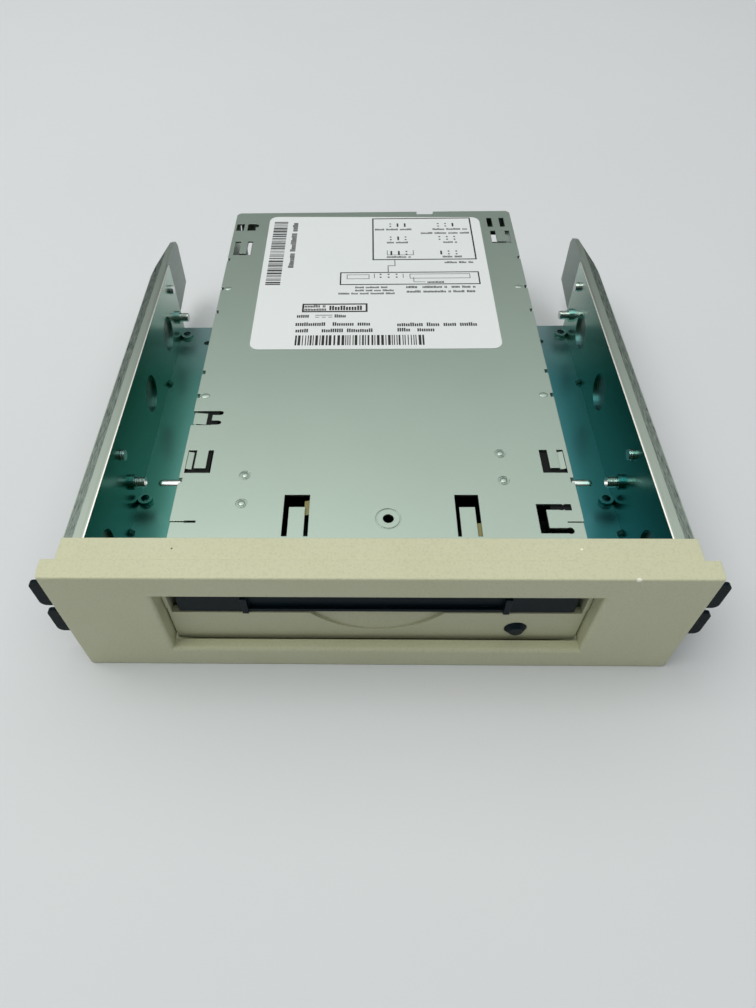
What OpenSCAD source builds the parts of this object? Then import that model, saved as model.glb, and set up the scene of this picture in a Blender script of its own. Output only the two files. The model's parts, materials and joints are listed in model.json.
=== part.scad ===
// Removable-cartridge disk drive on its 5.25 inch bay adapter: bezel, tray, slide rails and latches.
// X is across the drive, Y runs from the bezel's front face to the rear, Z is up.
// The bezel's underside is at zero height and the model is centred in X and Y.

/* [Bay bezel] */
// Overhang of the bezel's slab beyond the lip on each side
slab_overhang = 3.1; // [2.6:0.1:4]
// Height of the bezel above its window
bezel_crown = 8.2; // [7.6:0.1:9]
// Depth of the bezel's slab
slab_d = 5; // [4.6:0.1:5.4]
// Thickness of the bezel's front wall
bezel_wall = 3; // [2.6:0.1:3.4]
// Amount by which each side face draws in towards the front
side_draft = 0.4; // [0.3:0.1:1.6]
// Gap between the drive's faceplate and each side of the window
window_gap = 0.3; // [0.3:0.1:1.5]
// Height of the window
window_h = 25; // [23:0.1:27]
// Height of the window's lower edge
window_z = 8.3; // [7.6:0.1:9]
// Depth of the lip behind the slab
lip_d = 6.2; // [4.4:0.1:7]

/* [Adapter tray] */
// Thickness of the zinc-plated sheet
sheet_t = 1; // [0.8:0.1:1.2]
// Clear width between the tray's side walls
tray_w = 144; // [140:0.5:150]
// Height of the tray's underside above the bezel's underside
tray_z = 1.6; // [1.2:0.1:2]
// Height of the tray's side walls
tray_h = 28.4; // [27:0.1:30]
// Distance from the bezel's front face to the first row of bay screws
bay_hole_y = 52.4; // [48:0.1:56]
// Distance between the two rows of bay screws
bay_pitch = 79.25; // [76:0.05:82]
// Length of the tray behind the rear row of bay screws
tray_tail = 5.35; // [4.5:0.05:8]
// Height of the lower side screws above the tray's underside
side_hole_low = 9.9; // [9.4:0.05:10.4]
// Height of the upper side screws above the tray's underside
side_hole_high = 21.84; // [21:0.02:22.4]
// Diameter of the lightening holes in the side walls
wall_hole_d = 11.8; // [11:0.1:19]
// Distance of the tapped floor holes from the side walls
floor_hole_inset = 2.15; // [2:0.05:4]

/* [Rails and latches] */
// Height of a slide rail above its upper screws
rail_crown = 6.56; // [5.6:0.02:7.4]
// Depth of a slide rail's channel, from web to outer edge
rail_d = 4.2; // [3.8:0.1:4.8]
// Thickness of the rail's steel
rail_t = 1.2; // [1:0.1:1.3]
// Length of a slide rail behind the rear row of bay screws
rail_tail = 24.35; // [20:0.05:28]
// Reach of the latch prongs beyond the rails
prong_out = 4.6; // [3.6:0.1:5.6]
// Height of one latch prong
prong_h = 10.1; // [9:0.1:11]
// Thickness of a latch prong
prong_t = 1.1; // [0.9:0.1:1.3]
// Gap between the two prongs
prong_gap = 2.7; // [2:0.1:4]
// Inward flex of a latch, in degrees
latch_flex = 2; // [1:0.5:3]

/* [Drive] */
// Width of the drive
drive_w = 101.6; // [101:0.1:104]
// Height of the drive's underside above the bezel's underside
drive_z = 7; // [6.2:0.1:7.8]
// Height of the cartridge slot's lower edge above the drive's underside
slot_rise = 13; // [12.4:0.1:14]
// Height of the drive's top above the cartridge slot's lower edge
slot_drop = 12.4; // [11:0.1:14]
// Thickness of the drive's cover
cover_t = 0.6; // [0.5:0.05:0.8]
// Room for the connectors behind the head mechanism
rear_room = 15; // [13:0.5:20]
// Diameter of the eject button
button_d = 5.4; // [4.6:0.1:6.2]
// Distance of the eject button from the middle of the drive
button_x = 34.8; // [30:0.1:38]
// Travel of the eject button
button_travel = 2; // [1:0.1:2.4]
// Width of the label on the cover
label_w = 77.2; // [66:0.2:84]
// Depth of the label on the cover
label_d = 76.5; // [66:0.5:84]

/* [Mechanism] */
// Distance from the faceplate to the spindle
motor_setback = 53; // [50:0.5:56]
// Diameter of the spindle motor
motor_d = 44; // [38:0.5:48]
// Diameter of the spindle hub
hub_d = 24; // [20:0.5:26]
// Distance from the spindle to the front posts of the guide rods
post_gap = 43; // [40:0.5:46]
// Travel of the head carriage
carriage_travel = 25; // [20:0.5:28]
// Diameter of the carriage's guide rods
rod_d = 2.5; // [2:0.1:3]
// Travel of the eject sled
sled_travel = 8; // [6:0.5:9]
// Travel of the solenoid's plunger
plunger_travel = 3; // [2:0.1:3.4]

/* [Hidden] */

round_fn = 64;
small_fn = 32;
arc_steps = 5;
cut = 2;

// Clearances
seat_gap = 0.3;
slide_gap = 0.3;
pin_gap = 0.05;
screw_gap = 0.15;
board_gap = 0.5;

// Bezel details
edge_r = 0.45;
window_r = 1;
corner_r = 2.4;
top_corner_r = 0.3;
side_land = 1.8;
lip_wall = 2;
lip_drop = 0.5;
slab_front_r = 0.4;
collar_t = 1.2;
tongue_t = 1.6;
tongue_l = 8.3;
tongue_h = 4;
tongue_w = 8;
hook_l = 2;
hook_h = 1.1;
tongue_inset = 11.7;
tongue_drop = 1.5;

// Derived bezel and drive heights and depths
half_w = drive_w / 2;
panel_inset = 0.2;
panel_half = half_w - panel_inset;
window_w = 2 * (panel_half + window_gap);
bezel_h = window_z + window_h + bezel_crown;
drive_h = slot_rise + slot_drop;
panel_gap = 1;
panel_y = bezel_wall + panel_gap;
lip_rear = slab_d + lip_d;
lip_half = tray_w / 2 - seat_gap;
bezel_w = 2 * (lip_half + slab_overhang);
tongue_x = lip_half - tongue_inset;
lip_top = bezel_h - lip_drop;
cavity_half = lip_half - lip_wall;
cavity_top = lip_top - lip_wall;
cavity_low = lip_drop + lip_wall;

// Derived tray places
tray_front = lip_rear + seat_gap;
tray_half = tray_w / 2;
tray_floor = tray_z + sheet_t;
tray_top = tray_z + tray_h;
bay_rows = [bay_hole_y, bay_hole_y + bay_pitch];
tray_rear = bay_rows[1] + tray_tail;
floor_pitch = 2 * (tray_half - floor_hole_inset);
low_z = tray_z + side_hole_low;
high_z = tray_z + side_hole_high;
collar_h = 1.4;
collar_r = 2.2;
tap_r = 1.25;
side_collar_l = 1.2;
side_collar_r = 2.3;
wall_hole_z = 15;
wall_hole_shares = [-0.340, 0.438, 0.823];
gusset_shares = [0.228, 0.745];
gusset_w = 1.5;
gusset_leg = 1.9;
floor_bead_setback = 7.1;
floor_bead_y = bay_rows[0] + floor_bead_setback;
floor_bead_r = 1.6;
floor_bead_rise = 0.7;
floor_bead_under = 4.8;
floor_bead_inset = 4.4;
floor_bead_in = half_w - floor_bead_under;
floor_bead_out = tray_half - floor_bead_inset;
pilot_r = 1.1;
pilot_inset = 10;
pilot_lead = 3.85;
pilot_x = tray_half - pilot_inset;
pilot_y = bay_rows[1] - pilot_lead;
pad_w = 13;
pad_step = 1;
mount_inset = 3.175;
mount_x = half_w - mount_inset;
mount_setback = 31.6;
mount_pitch = 70;
mount_y = [panel_y + mount_setback, panel_y + mount_setback + mount_pitch];

// Screws
screw_r = 1.5;
head_r = 2.4;
head_h = 1.7;
recess_w = 0.7;
recess_l = 2.9;
recess_d = 0.9;
short_tip = 1.3;
long_tip = 4.2;
mount_reach = 4;

// Rails
flange_t = 0.9;
foot_gap = 0.2;
rail_z = low_z - head_r - flange_t - foot_gap;
rail_top_z = high_z + rail_crown;
rail_h = rail_top_z - rail_z;
rail_rear = bay_rows[1] + rail_tail;
rail_front_gap = 2;
rail_front = slab_d + rail_front_gap;
rail_in = tray_half + sheet_t;
rail_out = rail_in + rail_d;
rail_tip_shares = [[1, 0.826], [0.88, 0.866], [0.57, 0.92], [0.3, 0.967]];
web_tip_shares = [[1, 0.969], [0.93, 0.99], [0.82, 1], [0.1, 1], [0, 0.906]];

// Latches
latch_z = rail_z + rail_h / 2;
leaf_t = 1;
leaf_spare = 0.4;
latch_len = 40;
leaf_gap = latch_len * tan(latch_flex) + leaf_spare;
leaf_in = rail_in + rail_t + leaf_gap;
leaf_h = 17;
leaf_slot_h = 3;
prong_y = slab_d + seat_gap;
latch_pivot_y = prong_y + latch_len;
prong_in = leaf_in;
prong_r = 1.6;
anchor_l = 8;
anchor_gap = 0.25;
anchor_w = 2.8;
prong_mid = latch_z + leaf_t * 0.4;
latch_reach = rail_out + prong_out;

// Depths along the drive, from the faceplate to the rear
motor_y = panel_y + motor_setback;
post_l = 3;
carriage_l = 18;
carriage_gap = 2;
carriage_end_gap = 1;
front_post_y = motor_y + post_gap;
carriage_park = front_post_y + post_l + carriage_end_gap + carriage_travel;
rear_post_y = carriage_park + carriage_l + carriage_gap;
rear_y = rear_post_y + post_l + rear_room;
depth = rear_y;

// Drive levels
drive_top = drive_z + drive_h;
chassis_t = 1;
chassis_rear_gap = 2;
chassis_wall = 1.2;
floor_z = drive_z + chassis_t;
slot_z = drive_z + slot_rise;
wall_drop = 0.5;
wall_z = slot_z - wall_drop;
metal_setback = 18.4;
metal_y = panel_y + metal_setback;
chassis_half = half_w - cover_t - seat_gap;
cover_lift = 0.5;
cover_low = drive_z + cover_lift;
cover_in = drive_top - cover_t;

// Cover cut-outs, as shares of half the width and of the punch tool's length. Those in its front half
// are set from the faceplate and those in its rear half from the rear
punch_l = 163;
side_slot_shares = [
  [[-0.985, -0.845], [0.926, 0.954], [-0.930, -0.905], [0.926, 0.954]],
  [[-0.970, -0.846], [0.829, 0.882], [-0.930, -0.880], [0.835, 0.882]],
  [[0.823, 0.947], [0.933, 0.971], [0.860, 0.912], [0.933, 0.971]],
  [[0.833, 0.967], [0.868, 0.917], [0.870, 0.935], [0.874, 0.917]],
  [[-0.980, -0.846], [0.209, 0.258], [-0.935, -0.874], [0.219, 0.258]],
  [[0.854, 0.978], [0.209, 0.258], [0.895, 0.945], [0.219, 0.258]],
  [[0.785, 0.912], [0.091, 0.146], [0.830, 0.912], [0.101, 0.135]],
  [[-0.450, -0.323], [0.085, 0.164], [-0.423, -0.344], [0.085, 0.140]],
  [[0.392, 0.509], [0.085, 0.164], [0.410, 0.487], [0.085, 0.140]]];
bare_slot_shares = [
  [[-0.865, -0.827], [0.940, 0.952]],
  [[-1.010, -0.890], [0.316, 0.350]],
  [[-0.895, -0.848], [0.340, 0.350]],
  [[-0.895, -0.853], [0.317, 0.327]],
  [[0.920, 0.955], [0.134, 0.146]],
  [[0.905, 0.934], [0.091, 0.101]],
  [[-0.929, -0.872], [0.1098, 0.1139]]];
relief_shares = [[0.905, 0.140, 0.95], [0.926, 0.096, 0.95], [-0.846, 0.345, 0.75], [-0.851, 0.322, 0.75]];
slit_shares = [[-1.010, -0.872], [0.921, 1.010]];
slit_w = 0.35;
notch_shares = [0.812, 0.707, 0.629, 0.450, 0.388, 0.194];
notch_w = 0.9;
notch_l = 1.6;
dimple_shares = [[-0.663, 0.204], [-0.661, 0.147], [0.652, 0.250], [0.648, 0.193]];
dimple_r = 1.5;
dimple_ring = 0.35;
dimple_d = 0.2;
centre_hole_shares = [0.063, 0.118];
centre_hole_r = 1.35;
centre_ring_r = 3.2;
rear_notch_shares = [0.323, 0.443];
rear_notch_d = 2.4;
rear_notch_drop = 1;
rear_flange_h = 9.4;
rear_clip = 0.8;
cover_tail = 2.6;

// Label
label_x = 0.5;
label_margin = 3;
label_y = rear_y - label_margin - label_d;
label_t = 0.15;
label_r = 3;
label_skew = 1.5;

// Faceplate
panel_t = 2;
panel_bar_h = 2.5;
panel_crest = 1.2;
cheek_t = 1;
cheek_out = panel_half;
cheek_in = cheek_out - cheek_t;
cheek_gap = 0.3;
arc_w = 32.6;
arc_h = 8;
arc_r = (arc_w * arc_w / 4 + arc_h * arc_h) / (2 * arc_h);
arc_x = 0.4;
arc_top_d = 1.1;
arc_low_d = 0.3;
panel_chamfer = 0.4;
lug_w = 3.4;
lug_gap = 0.6;

// Slot door
door_side_gap = 2;
door_half = cheek_in - door_side_gap;
door_setback = 0.2;
door_t = 1.6;
door_y = panel_y + door_setback;
pin_y = panel_y + panel_t / 2;
pin_drop = 4;
pin_z = drive_top - pin_drop;
pin_r = 0.5;
barrel_r = 1.15;
door_low = slot_z + seat_gap;
door_shoulder_z = pin_z - door_t;
door_recess_half = 30.6;
door_recess_d = 1;
door_lip_h = 1;
rib_w = 1.5;
rib_proud = 0.5;
barrel_half = panel_half - lug_w - seat_gap;
spring_room = 3;
door_turns = 3;
door_wire_r = 0.15;
door_coil_r = 0.85;
door_pitch = 0.8;

// Eject button and front board
button_rise = 5.8;
button_z = drive_z + button_rise;
button_proud = 1.2;
button_taper = 1.1;
button_bore_gap = 0.12;
button_flange_r = 3.6;
button_flange_t = 0.9;
stem_r = 1.1;
nub_r = 0.9;
nub_h = 0.7;
board_t = 1.2;
front_board_span = [15, 8.6];
front_board_h = 10.4;
switch_w = 6;
switch_h = 6;
switch_d = 3.3;
button_back_gap = 0.2;
stem_l = 2;
spring_gap = 0.1;
flange_y = panel_y + panel_t + button_back_gap;
stem_end = flange_y + button_flange_t + stem_l;
nub_y = stem_end + button_travel + seat_gap;
switch_y = nub_y + nub_h;
front_board_y = switch_y + switch_d;
button_turns = 4;
button_wire_r = 0.15;
button_coil_r = 1.9;
led_r = 1.5;
led_l = 4;
led_x = 5.6;

// Cartridge guides
guide_w = 6.1;
guide_half = half_w - cover_t - 2 * seat_gap;
guide_in = guide_half - guide_w;
guide_setback = 19;
guide_l = 81;
guide_t = 1.2;
cart_h = 6.6;
cart_top = slot_z + cart_h + seat_gap;

// Spindle
motor_h = 6;
motor_step = 1;
hub_drop = 0.4;
shaft_drop = 2;
shaft_r = 2;
motor_top = floor_z + motor_h;
hub_low = motor_top + seat_gap;
hub_top = slot_z - hub_drop;
hub_flange_h = 1.2;
hub_boss_r = 5;
magnet_hole_r = 1.1;
magnet_ring_r = 8.5;

// Circuit board
pcb_t = 1.6;
pcb_lift = 1.2;
pcb_z = floor_z + pcb_lift;
pcb_top = pcb_z + pcb_t;
pcb_inset = 3.8;
pcb_half = half_w - pcb_inset;
pcb_motor_gap = 3.5;
pcb_rear_gap = 2;
pcb_front = motor_y + motor_d / 2 + pcb_motor_gap;
pcb_rear = rear_y - pcb_rear_gap;
stand_r = 2.4;
stand_inset = 3.5;
stand_x = pcb_half - stand_inset;
stand_front_gap = 7.5;
stand_rear_gap = 15;
stand_y = [pcb_front + stand_front_gap, pcb_rear - stand_rear_gap];
board_screw_r = 1.1;
board_head_r = 2;
board_head_h = 1;
chip_shares = [[-0.62, 0.10, 0.26, 0.16, 0.80], [0.00, 0.12, 0.34, 0.20, 0.75],
  [0.72, 0.14, 0.16, 0.14, 0.80], [0.84, 0.50, 0.16, 0.14, 1.00], [-0.10, 0.45, 0.24, 0.16, 0.70],
  [0.00, 0.75, 0.20, 0.10, 0.70], [-0.82, 0.78, 0.14, 0.10, 0.90], [0.55, 0.50, 0.16, 0.10, 0.70]];

// Rear connectors
conn_rear = rear_y - seat_gap;
data_w = 57.4;
data_inset = 2.7;
data_x = half_w - data_inset - data_w / 2;
data_h = 9;
data_d = 9.4;
data_wall = 1.3;
key_w = 4.4;
pin_pitch = 2.54;
pin_w = 0.64;
pin_tail = 1.2;
power_w = 22.8;
power_inset = 4.4;
power_x = power_inset + power_w / 2 - half_w;
power_h = 10.6;
power_d = 11;
power_pitch = 5.08;
power_pin_r = 1.05;
power_wall = 1.4;
jumper_w = 9.6;
jumper_gap = 2.7;
jumper_x = data_x - data_w / 2 - jumper_gap - jumper_w / 2;
jumper_h = 2.5;
jumper_d = 5;
jumper_pin_h = 5.6;
cap_h = 4.8;

// Head carriage
rod_r = rod_d / 2;
rod_x = 13;
rod_rise = 9;
rod_z = floor_z + rod_rise;
post_w = 5;
post_grip = 1.6;
carriage_half = 16;
carriage_h = 5;
tower_half = 6;
tower_rise = 6.2;
tower_top = slot_z + tower_rise;
arm_w = 4;
arm_t = 0.8;
arm_l = 22;
arm_low_rise = 1.6;
arm_high_rise = 4.6;
coil_out = 31;
coil_t = 1.5;
coil_bar = 3;
coil_l = 16;
coil_setback = 1;
yoke_in = 18.2;
yoke_out = 33;
yoke_t = 1.2;
yoke_gap = 5.2;
yoke_front = front_post_y;
yoke_rear = rear_post_y + post_l;
yoke_leg_r = 1.6;
yoke_leg_in = 2.2;

// Eject sled, solenoid
sled_drop = 4;
sled_z = slot_z - sled_drop;
sled_t = 1.6;
sled_inset = 7.3;
sled_half = half_w - sled_inset;
sled_bar_w = 12;
ledge_w = 3;
sled_setback = 28;
sled_end_gap = 3;
sled_front = panel_y + sled_setback;
sled_rear = front_post_y - sled_travel - sled_end_gap;
sled_cross = 7;
pusher_inset = 6.5;
pusher_x = sled_half - pusher_inset;
pusher_w = 6;
pusher_l = 3;
pusher_rise = 3;
pusher_top = slot_z + pusher_rise;
lug_out = 2.1;
lug_x = sled_half + lug_out;
sled_lug_half = 1.4;
sled_lug_l = 2;
sled_lug_h = 4;
sled_lug_setback = 6;
anchor_lug_setback = 32;
sled_lug_y = sled_front + sled_lug_setback;
anchor_lug_y = sled_front + anchor_lug_setback;
ledge_y = sled_front + ledge_w;
sled_turns = 12;
sled_wire_r = 0.25;
sled_coil_r = 1.4;
solenoid_inset = 10.2;
solenoid_x = solenoid_inset - half_w;
solenoid_w = 9;
solenoid_h = 8.4;
solenoid_setback = 11;
solenoid_y = front_post_y + solenoid_setback;
solenoid_l = 20;
plunger_r = 1.5;
plunger_nose = 9.2;
plunger_in = 10;
collar_plunger_r = 3;
collar_plunger_t = 1;
plunger_turns = 5;
plunger_wire_r = 0.18;
plunger_coil_r = 2.2;
chassis_screw_r = 1;
chassis_head_r = 1.9;
chassis_head_h = 0.7;
chassis_screw_front = 21.6;
chassis_screw_rear = 23;
chassis_screw_y = [metal_y + chassis_screw_front, rear_y - chassis_screw_rear];
chassis_screw_rise = 3.8;

function arc(c, r, a0, a1) = [for (i = [0:arc_steps]) let (a = a0 + (a1 - a0) * i / arc_steps)
  [c[0] + r * cos(a), c[1] + r * sin(a)]];
function depth_at(share) = share < 0.5 ? panel_y + share * punch_l : rear_y - (1 - share) * punch_l;
function span_x(s) = [s[0] * half_w, s[1] * half_w];
function span_y(s) = [depth_at(s[0]), depth_at(s[1])];

// One unbroken wire wound along Z: points, then its surface
rings = 8;
sides = 6;
function wire_points(r, w, length, turns) = [for (i = [0:turns * rings], j = [0:sides - 1])
  let (a = i * 360 / rings, b = j * 360 / sides, q = r + w * cos(b))
  [q * cos(a), q * sin(a), w + (length - 2 * w) * i / (turns * rings) + w * sin(b)]];
module wire(r, w, length, turns) {
  last = turns * rings;
  skin = [for (i = [0:last - 1], j = [0:sides - 1]) let (k = (j + 1) % sides)
    for (f = [[i * sides + j, i * sides + k, (i + 1) * sides + k],
      [i * sides + j, (i + 1) * sides + k, (i + 1) * sides + j]]) f];
  start = [for (j = [1:sides - 2]) [0, j + 1, j]];
  end = [for (j = [1:sides - 2]) [last * sides, last * sides + j, last * sides + j + 1]];
  polyhedron(wire_points(r, w, length, turns), concat(skin, start, end), convexity = 6);
}
echo("least gap in the springs' wires", min(
  door_pitch - 2 * door_wire_r,
  (switch_y - flange_y - button_flange_t) / button_turns - 2 * button_wire_r - spring_gap,
  (anchor_lug_y - sled_lug_y - sled_lug_l) / sled_turns - 2 * sled_wire_r));

module block(x, y, z) {
  translate([x[0], y[0], z[0]])
    cube([x[1] - x[0], y[1] - y[0], z[1] - z[0]]);
}
module rod_z_axis(x, y, z, r) {
  translate([x, y, z[0]])
    cylinder(h = z[1] - z[0], r = r, $fn = round_fn);
}
module rod_y_axis(x, y, z, r) {
  translate([x, y[0], z])
    rotate([-90, 0, 0])
      cylinder(h = y[1] - y[0], r = r, $fn = round_fn);
}
module rod_x_axis(x, y, z, r) {
  translate([x[0], y, z])
    rotate([0, 90, 0])
      cylinder(h = x[1] - x[0], r = r, $fn = round_fn);
}
module both_sides() {
  children();
  mirror([1, 0, 0])
    children();
}
module along_x(x) {
  translate([x[0], 0, 0])
    rotate([90, 0, 90])
      linear_extrude(height = x[1] - x[0])
        children();
}
module along_y(y) {
  translate([0, y[1], 0])
    rotate([90, 0, 0])
      linear_extrude(height = y[1] - y[0])
        children();
}
module along_z(z) {
  translate([0, 0, z[0]])
    linear_extrude(height = z[1] - z[0])
      children();
}
// Pan head with a cross recess, its shank along +X from the head's seat at x = 0
module screw_x(shank_l, r = screw_r, hr = head_r, hh = head_h) {
  difference() {
    rod_x_axis([-hh, 0], 0, 0, hr);
    for (turn = [0, 90])
      rotate([turn, 0, 0])
        block([-hh - cut, -hh + recess_d * hh / head_h],
          [-recess_l / 2 * hr / head_r, recess_l / 2 * hr / head_r],
          [-recess_w / 2 * hr / head_r, recess_w / 2 * hr / head_r]);
  }
  rod_x_axis([-hh / 2, shank_l], 0, 0, r);
}

// The bay's front bezel: a moulded slab with a window, a lip behind it and snap tongues
module slab_plan() {
  h = bezel_w / 2;
  f = h - side_draft;
  polygon(concat(
    [[h, slab_d + cut], [h, slab_d - side_land]],
    [for (p = arc([f - slab_front_r, slab_front_r], slab_front_r, 0, -90)) p],
    [for (p = arc([-f + slab_front_r, slab_front_r], slab_front_r, -90, -180)) p],
    [[-h, slab_d - side_land], [-h, slab_d + cut]]));
}
module slab_face() {
  h = bezel_w / 2;
  polygon(concat(
    arc([h - top_corner_r, bezel_h - top_corner_r], top_corner_r, 0, 90),
    arc([-h + top_corner_r, bezel_h - top_corner_r], top_corner_r, 90, 180),
    arc([-h + corner_r, corner_r], corner_r, 180, 270),
    arc([h - corner_r, corner_r], corner_r, 270, 360)));
}
module slab_side() {
  polygon(concat(
    [[slab_d, bezel_h], [slab_d, 0]],
    arc([edge_r, edge_r], edge_r, 270, 180),
    arc([edge_r, bezel_h - edge_r], edge_r, 180, 90)));
}
module window_profile(low, high) {
  r = window_r;
  polygon(concat(
    [[high + r, -cut]],
    [for (i = [0:arc_steps]) let (a = 90 - 90 * i / arc_steps) [high + r - r * cos(a), r - r * sin(a)]],
    [[high, bezel_wall + cut], [low, bezel_wall + cut]],
    [for (i = [0:arc_steps]) let (a = 90 * i / arc_steps) [low - r + r * cos(a), r - r * sin(a)]],
    [[low - r, -cut]]));
}
module window_cut() {
  intersection() {
    along_z([window_z - window_r, window_z + window_h + window_r])
      window_profile(-window_w / 2, window_w / 2);
    along_x([-window_w, window_w])
      mirror([1, -1])
        window_profile(window_z, window_z + window_h);
  }
}
module window_collar() {
  block([window_w / 2, window_w / 2 + collar_t], [slab_d / 2, lip_rear],
    [window_z, window_z + window_h]);
}
module bay_bezel() {
  color("#c4c5a9")
    difference() {
      union() {
        intersection() {
          along_z([0, bezel_h])
            slab_plan();
          along_y([0, slab_d])
            slab_face();
          along_x([-bezel_w, bezel_w])
            slab_side();
        }
        difference() {
          block([-lip_half, lip_half], [slab_d / 2, lip_rear], [lip_drop, lip_top]);
          block([-cavity_half, cavity_half], [0, lip_rear + cut], [cavity_low, cavity_top]);
        }
        both_sides() {
          window_collar();
          block([lip_half - tongue_t, lip_half], [slab_d, lip_rear + tongue_l],
            [high_z + tongue_drop, high_z + tongue_drop + tongue_h]);
          block([lip_half - tongue_t, lip_half + hook_h],
            [lip_rear + tongue_l - hook_l, lip_rear + tongue_l],
            [high_z + tongue_drop, high_z + tongue_drop + tongue_h]);
          block([tongue_x - tongue_w / 2, tongue_x + tongue_w / 2], [slab_d / 2, lip_rear + tongue_l],
            [tray_floor + seat_gap, tray_floor + seat_gap + tongue_t]);
          block([tongue_x - tongue_w / 2, tongue_x + tongue_w / 2],
            [lip_rear + tongue_l - hook_l, lip_rear + tongue_l],
            [tray_floor + seat_gap - hook_h, tray_floor + seat_gap + tongue_t]);
        }
      }
      difference() {
        block([-cavity_half, cavity_half], [bezel_wall, slab_d + cut], [cavity_low, cavity_top]);
        both_sides() {
          block([tongue_x - tongue_w / 2, tongue_x + tongue_w / 2], [0, slab_d + 2 * cut],
            [tray_floor + seat_gap, tray_floor + seat_gap + tongue_t]);
          window_collar();
        }
      }
      window_cut();
    }
}

// The folded sheet-metal tray: floor, side walls, pads that carry the drive, holes and gussets
module tray_hook_slots() {
  reach = [lip_rear + tongue_l - hook_l - seat_gap, lip_rear + tongue_l + seat_gap];
  both_sides() {
    block([lip_half - tongue_t, tray_half + sheet_t + cut], reach,
      [high_z + tongue_drop - seat_gap, high_z + tongue_drop + tongue_h + seat_gap]);
    block([tongue_x - tongue_w / 2 - seat_gap, tongue_x + tongue_w / 2 + seat_gap], reach,
      [tray_z - cut, tray_floor + cut]);
  }
}
module gusset(y) {
  along_y([y - gusset_w / 2, y + gusset_w / 2])
    polygon([[tray_half - gusset_leg, tray_floor - sheet_t / 2], [tray_half + sheet_t / 2, tray_floor - sheet_t / 2],
      [tray_half + sheet_t / 2, tray_floor + gusset_leg]]);
}
module floor_bead() {
  z = tray_floor + floor_bead_rise - floor_bead_r;
  intersection() {
    union() {
      rod_x_axis([floor_bead_in, floor_bead_out - floor_bead_r], floor_bead_y, z, floor_bead_r);
      for (x = [floor_bead_in, floor_bead_out - floor_bead_r])
        translate([x, floor_bead_y, z])
          sphere(r = floor_bead_r, $fn = small_fn);
    }
    block([0, tray_half], [tray_front, tray_rear], [tray_floor - sheet_t / 2, tray_top]);
  }
}
module adapter_tray() {
  color("#5f8f88")
    difference() {
      union() {
        block([-tray_half - sheet_t, tray_half + sheet_t], [tray_front, tray_rear], [tray_z, tray_floor]);
        both_sides() {
          block([tray_half, tray_half + sheet_t], [tray_front, tray_rear], [tray_z, tray_top]);
          for (s = gusset_shares)
            gusset(tray_front + s * (tray_rear - tray_front));
          for (y = bay_rows) {
            rod_z_axis(floor_pitch / 2, y, [tray_z, tray_floor + collar_h], collar_r);
            rod_x_axis([tray_half - side_collar_l, tray_half + sheet_t / 2], y, low_z, side_collar_r);
          }
          floor_bead();
          for (y = mount_y)
            block([mount_x - pad_w / 2, mount_x + pad_w / 2], [y - pad_w / 2, y + pad_w / 2],
              [tray_floor - sheet_t / 2, drive_z]);
        }
      }
      both_sides() {
        for (s = wall_hole_shares)
          rod_x_axis([tray_half - cut, tray_half + sheet_t + cut], bay_hole_y + s * bay_pitch,
            wall_hole_z, wall_hole_d / 2);
        for (y = bay_rows) {
          rod_z_axis(floor_pitch / 2, y, [tray_z - cut, tray_floor + collar_h + cut], tap_r);
          for (z = [low_z, high_z])
            rod_x_axis([tray_half - side_collar_l - cut, tray_half + sheet_t + cut], y, z, screw_r + screw_gap);
        }
        rod_z_axis(pilot_x, pilot_y, [tray_z - cut, tray_floor + cut], pilot_r);
        for (y = mount_y) {
          block([mount_x - pad_w / 2 + sheet_t, mount_x + pad_w / 2 - sheet_t],
            [y - pad_w / 2 + sheet_t, y + pad_w / 2 - sheet_t], [tray_z - cut, drive_z - pad_step * sheet_t]);
          rod_z_axis(mount_x, y, [tray_z, drive_z + cut], screw_r + screw_gap);
        }
      }
      tray_hook_slots();
    }
}

// Slide rail: a shallow steel channel, open outwards, with a tapered rear end
module rail() {
  l = rail_rear - rail_front;
  difference() {
    intersection() {
      difference() {
        block([rail_in, rail_out], [rail_front, rail_rear], [rail_z, rail_top_z]);
        block([rail_in + rail_t, rail_out + cut], [rail_front - cut, rail_rear + cut],
          [rail_z + flange_t, rail_top_z - flange_t]);
      }
      along_z([rail_z - cut, rail_top_z + cut])
        polygon(concat([[rail_in, rail_front], [rail_out, rail_front]],
          [for (p = rail_tip_shares) [rail_in + p[0] * rail_d, rail_front + p[1] * l]],
          [[rail_in + rail_t, rail_front + l], [rail_in, rail_front + l]]));
      along_x([rail_in - cut, rail_out + cut])
        polygon(concat([[rail_front, rail_z], [rail_front, rail_top_z]],
          [for (p = web_tip_shares) [rail_front + p[1] * l, rail_z + p[0] * rail_h]]));
    }
    for (y = bay_rows, z = [low_z, high_z])
      rod_x_axis([rail_in - cut, rail_in + rail_t + cut], y, z, screw_r + screw_gap);
  }
}
module right_rail() {
  color("#9aa399")
    rail();
}
module left_rail() {
  color("#9aa399")
    mirror([1, 0, 0])
      rail();
}
module rail_screws() {
  seat = rail_in + rail_t;
  color("#cfd6d2")
    for (flip = [0, 1], y = bay_rows)
      mirror([flip, 0, 0]) {
        translate([seat, y, high_z])
          rotate([0, 0, 180])
            screw_x(rail_t + sheet_t + short_tip);
        translate([seat, y, low_z])
          rotate([0, 0, 180])
            screw_x(rail_t + sheet_t + long_tip);
      }
}

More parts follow.
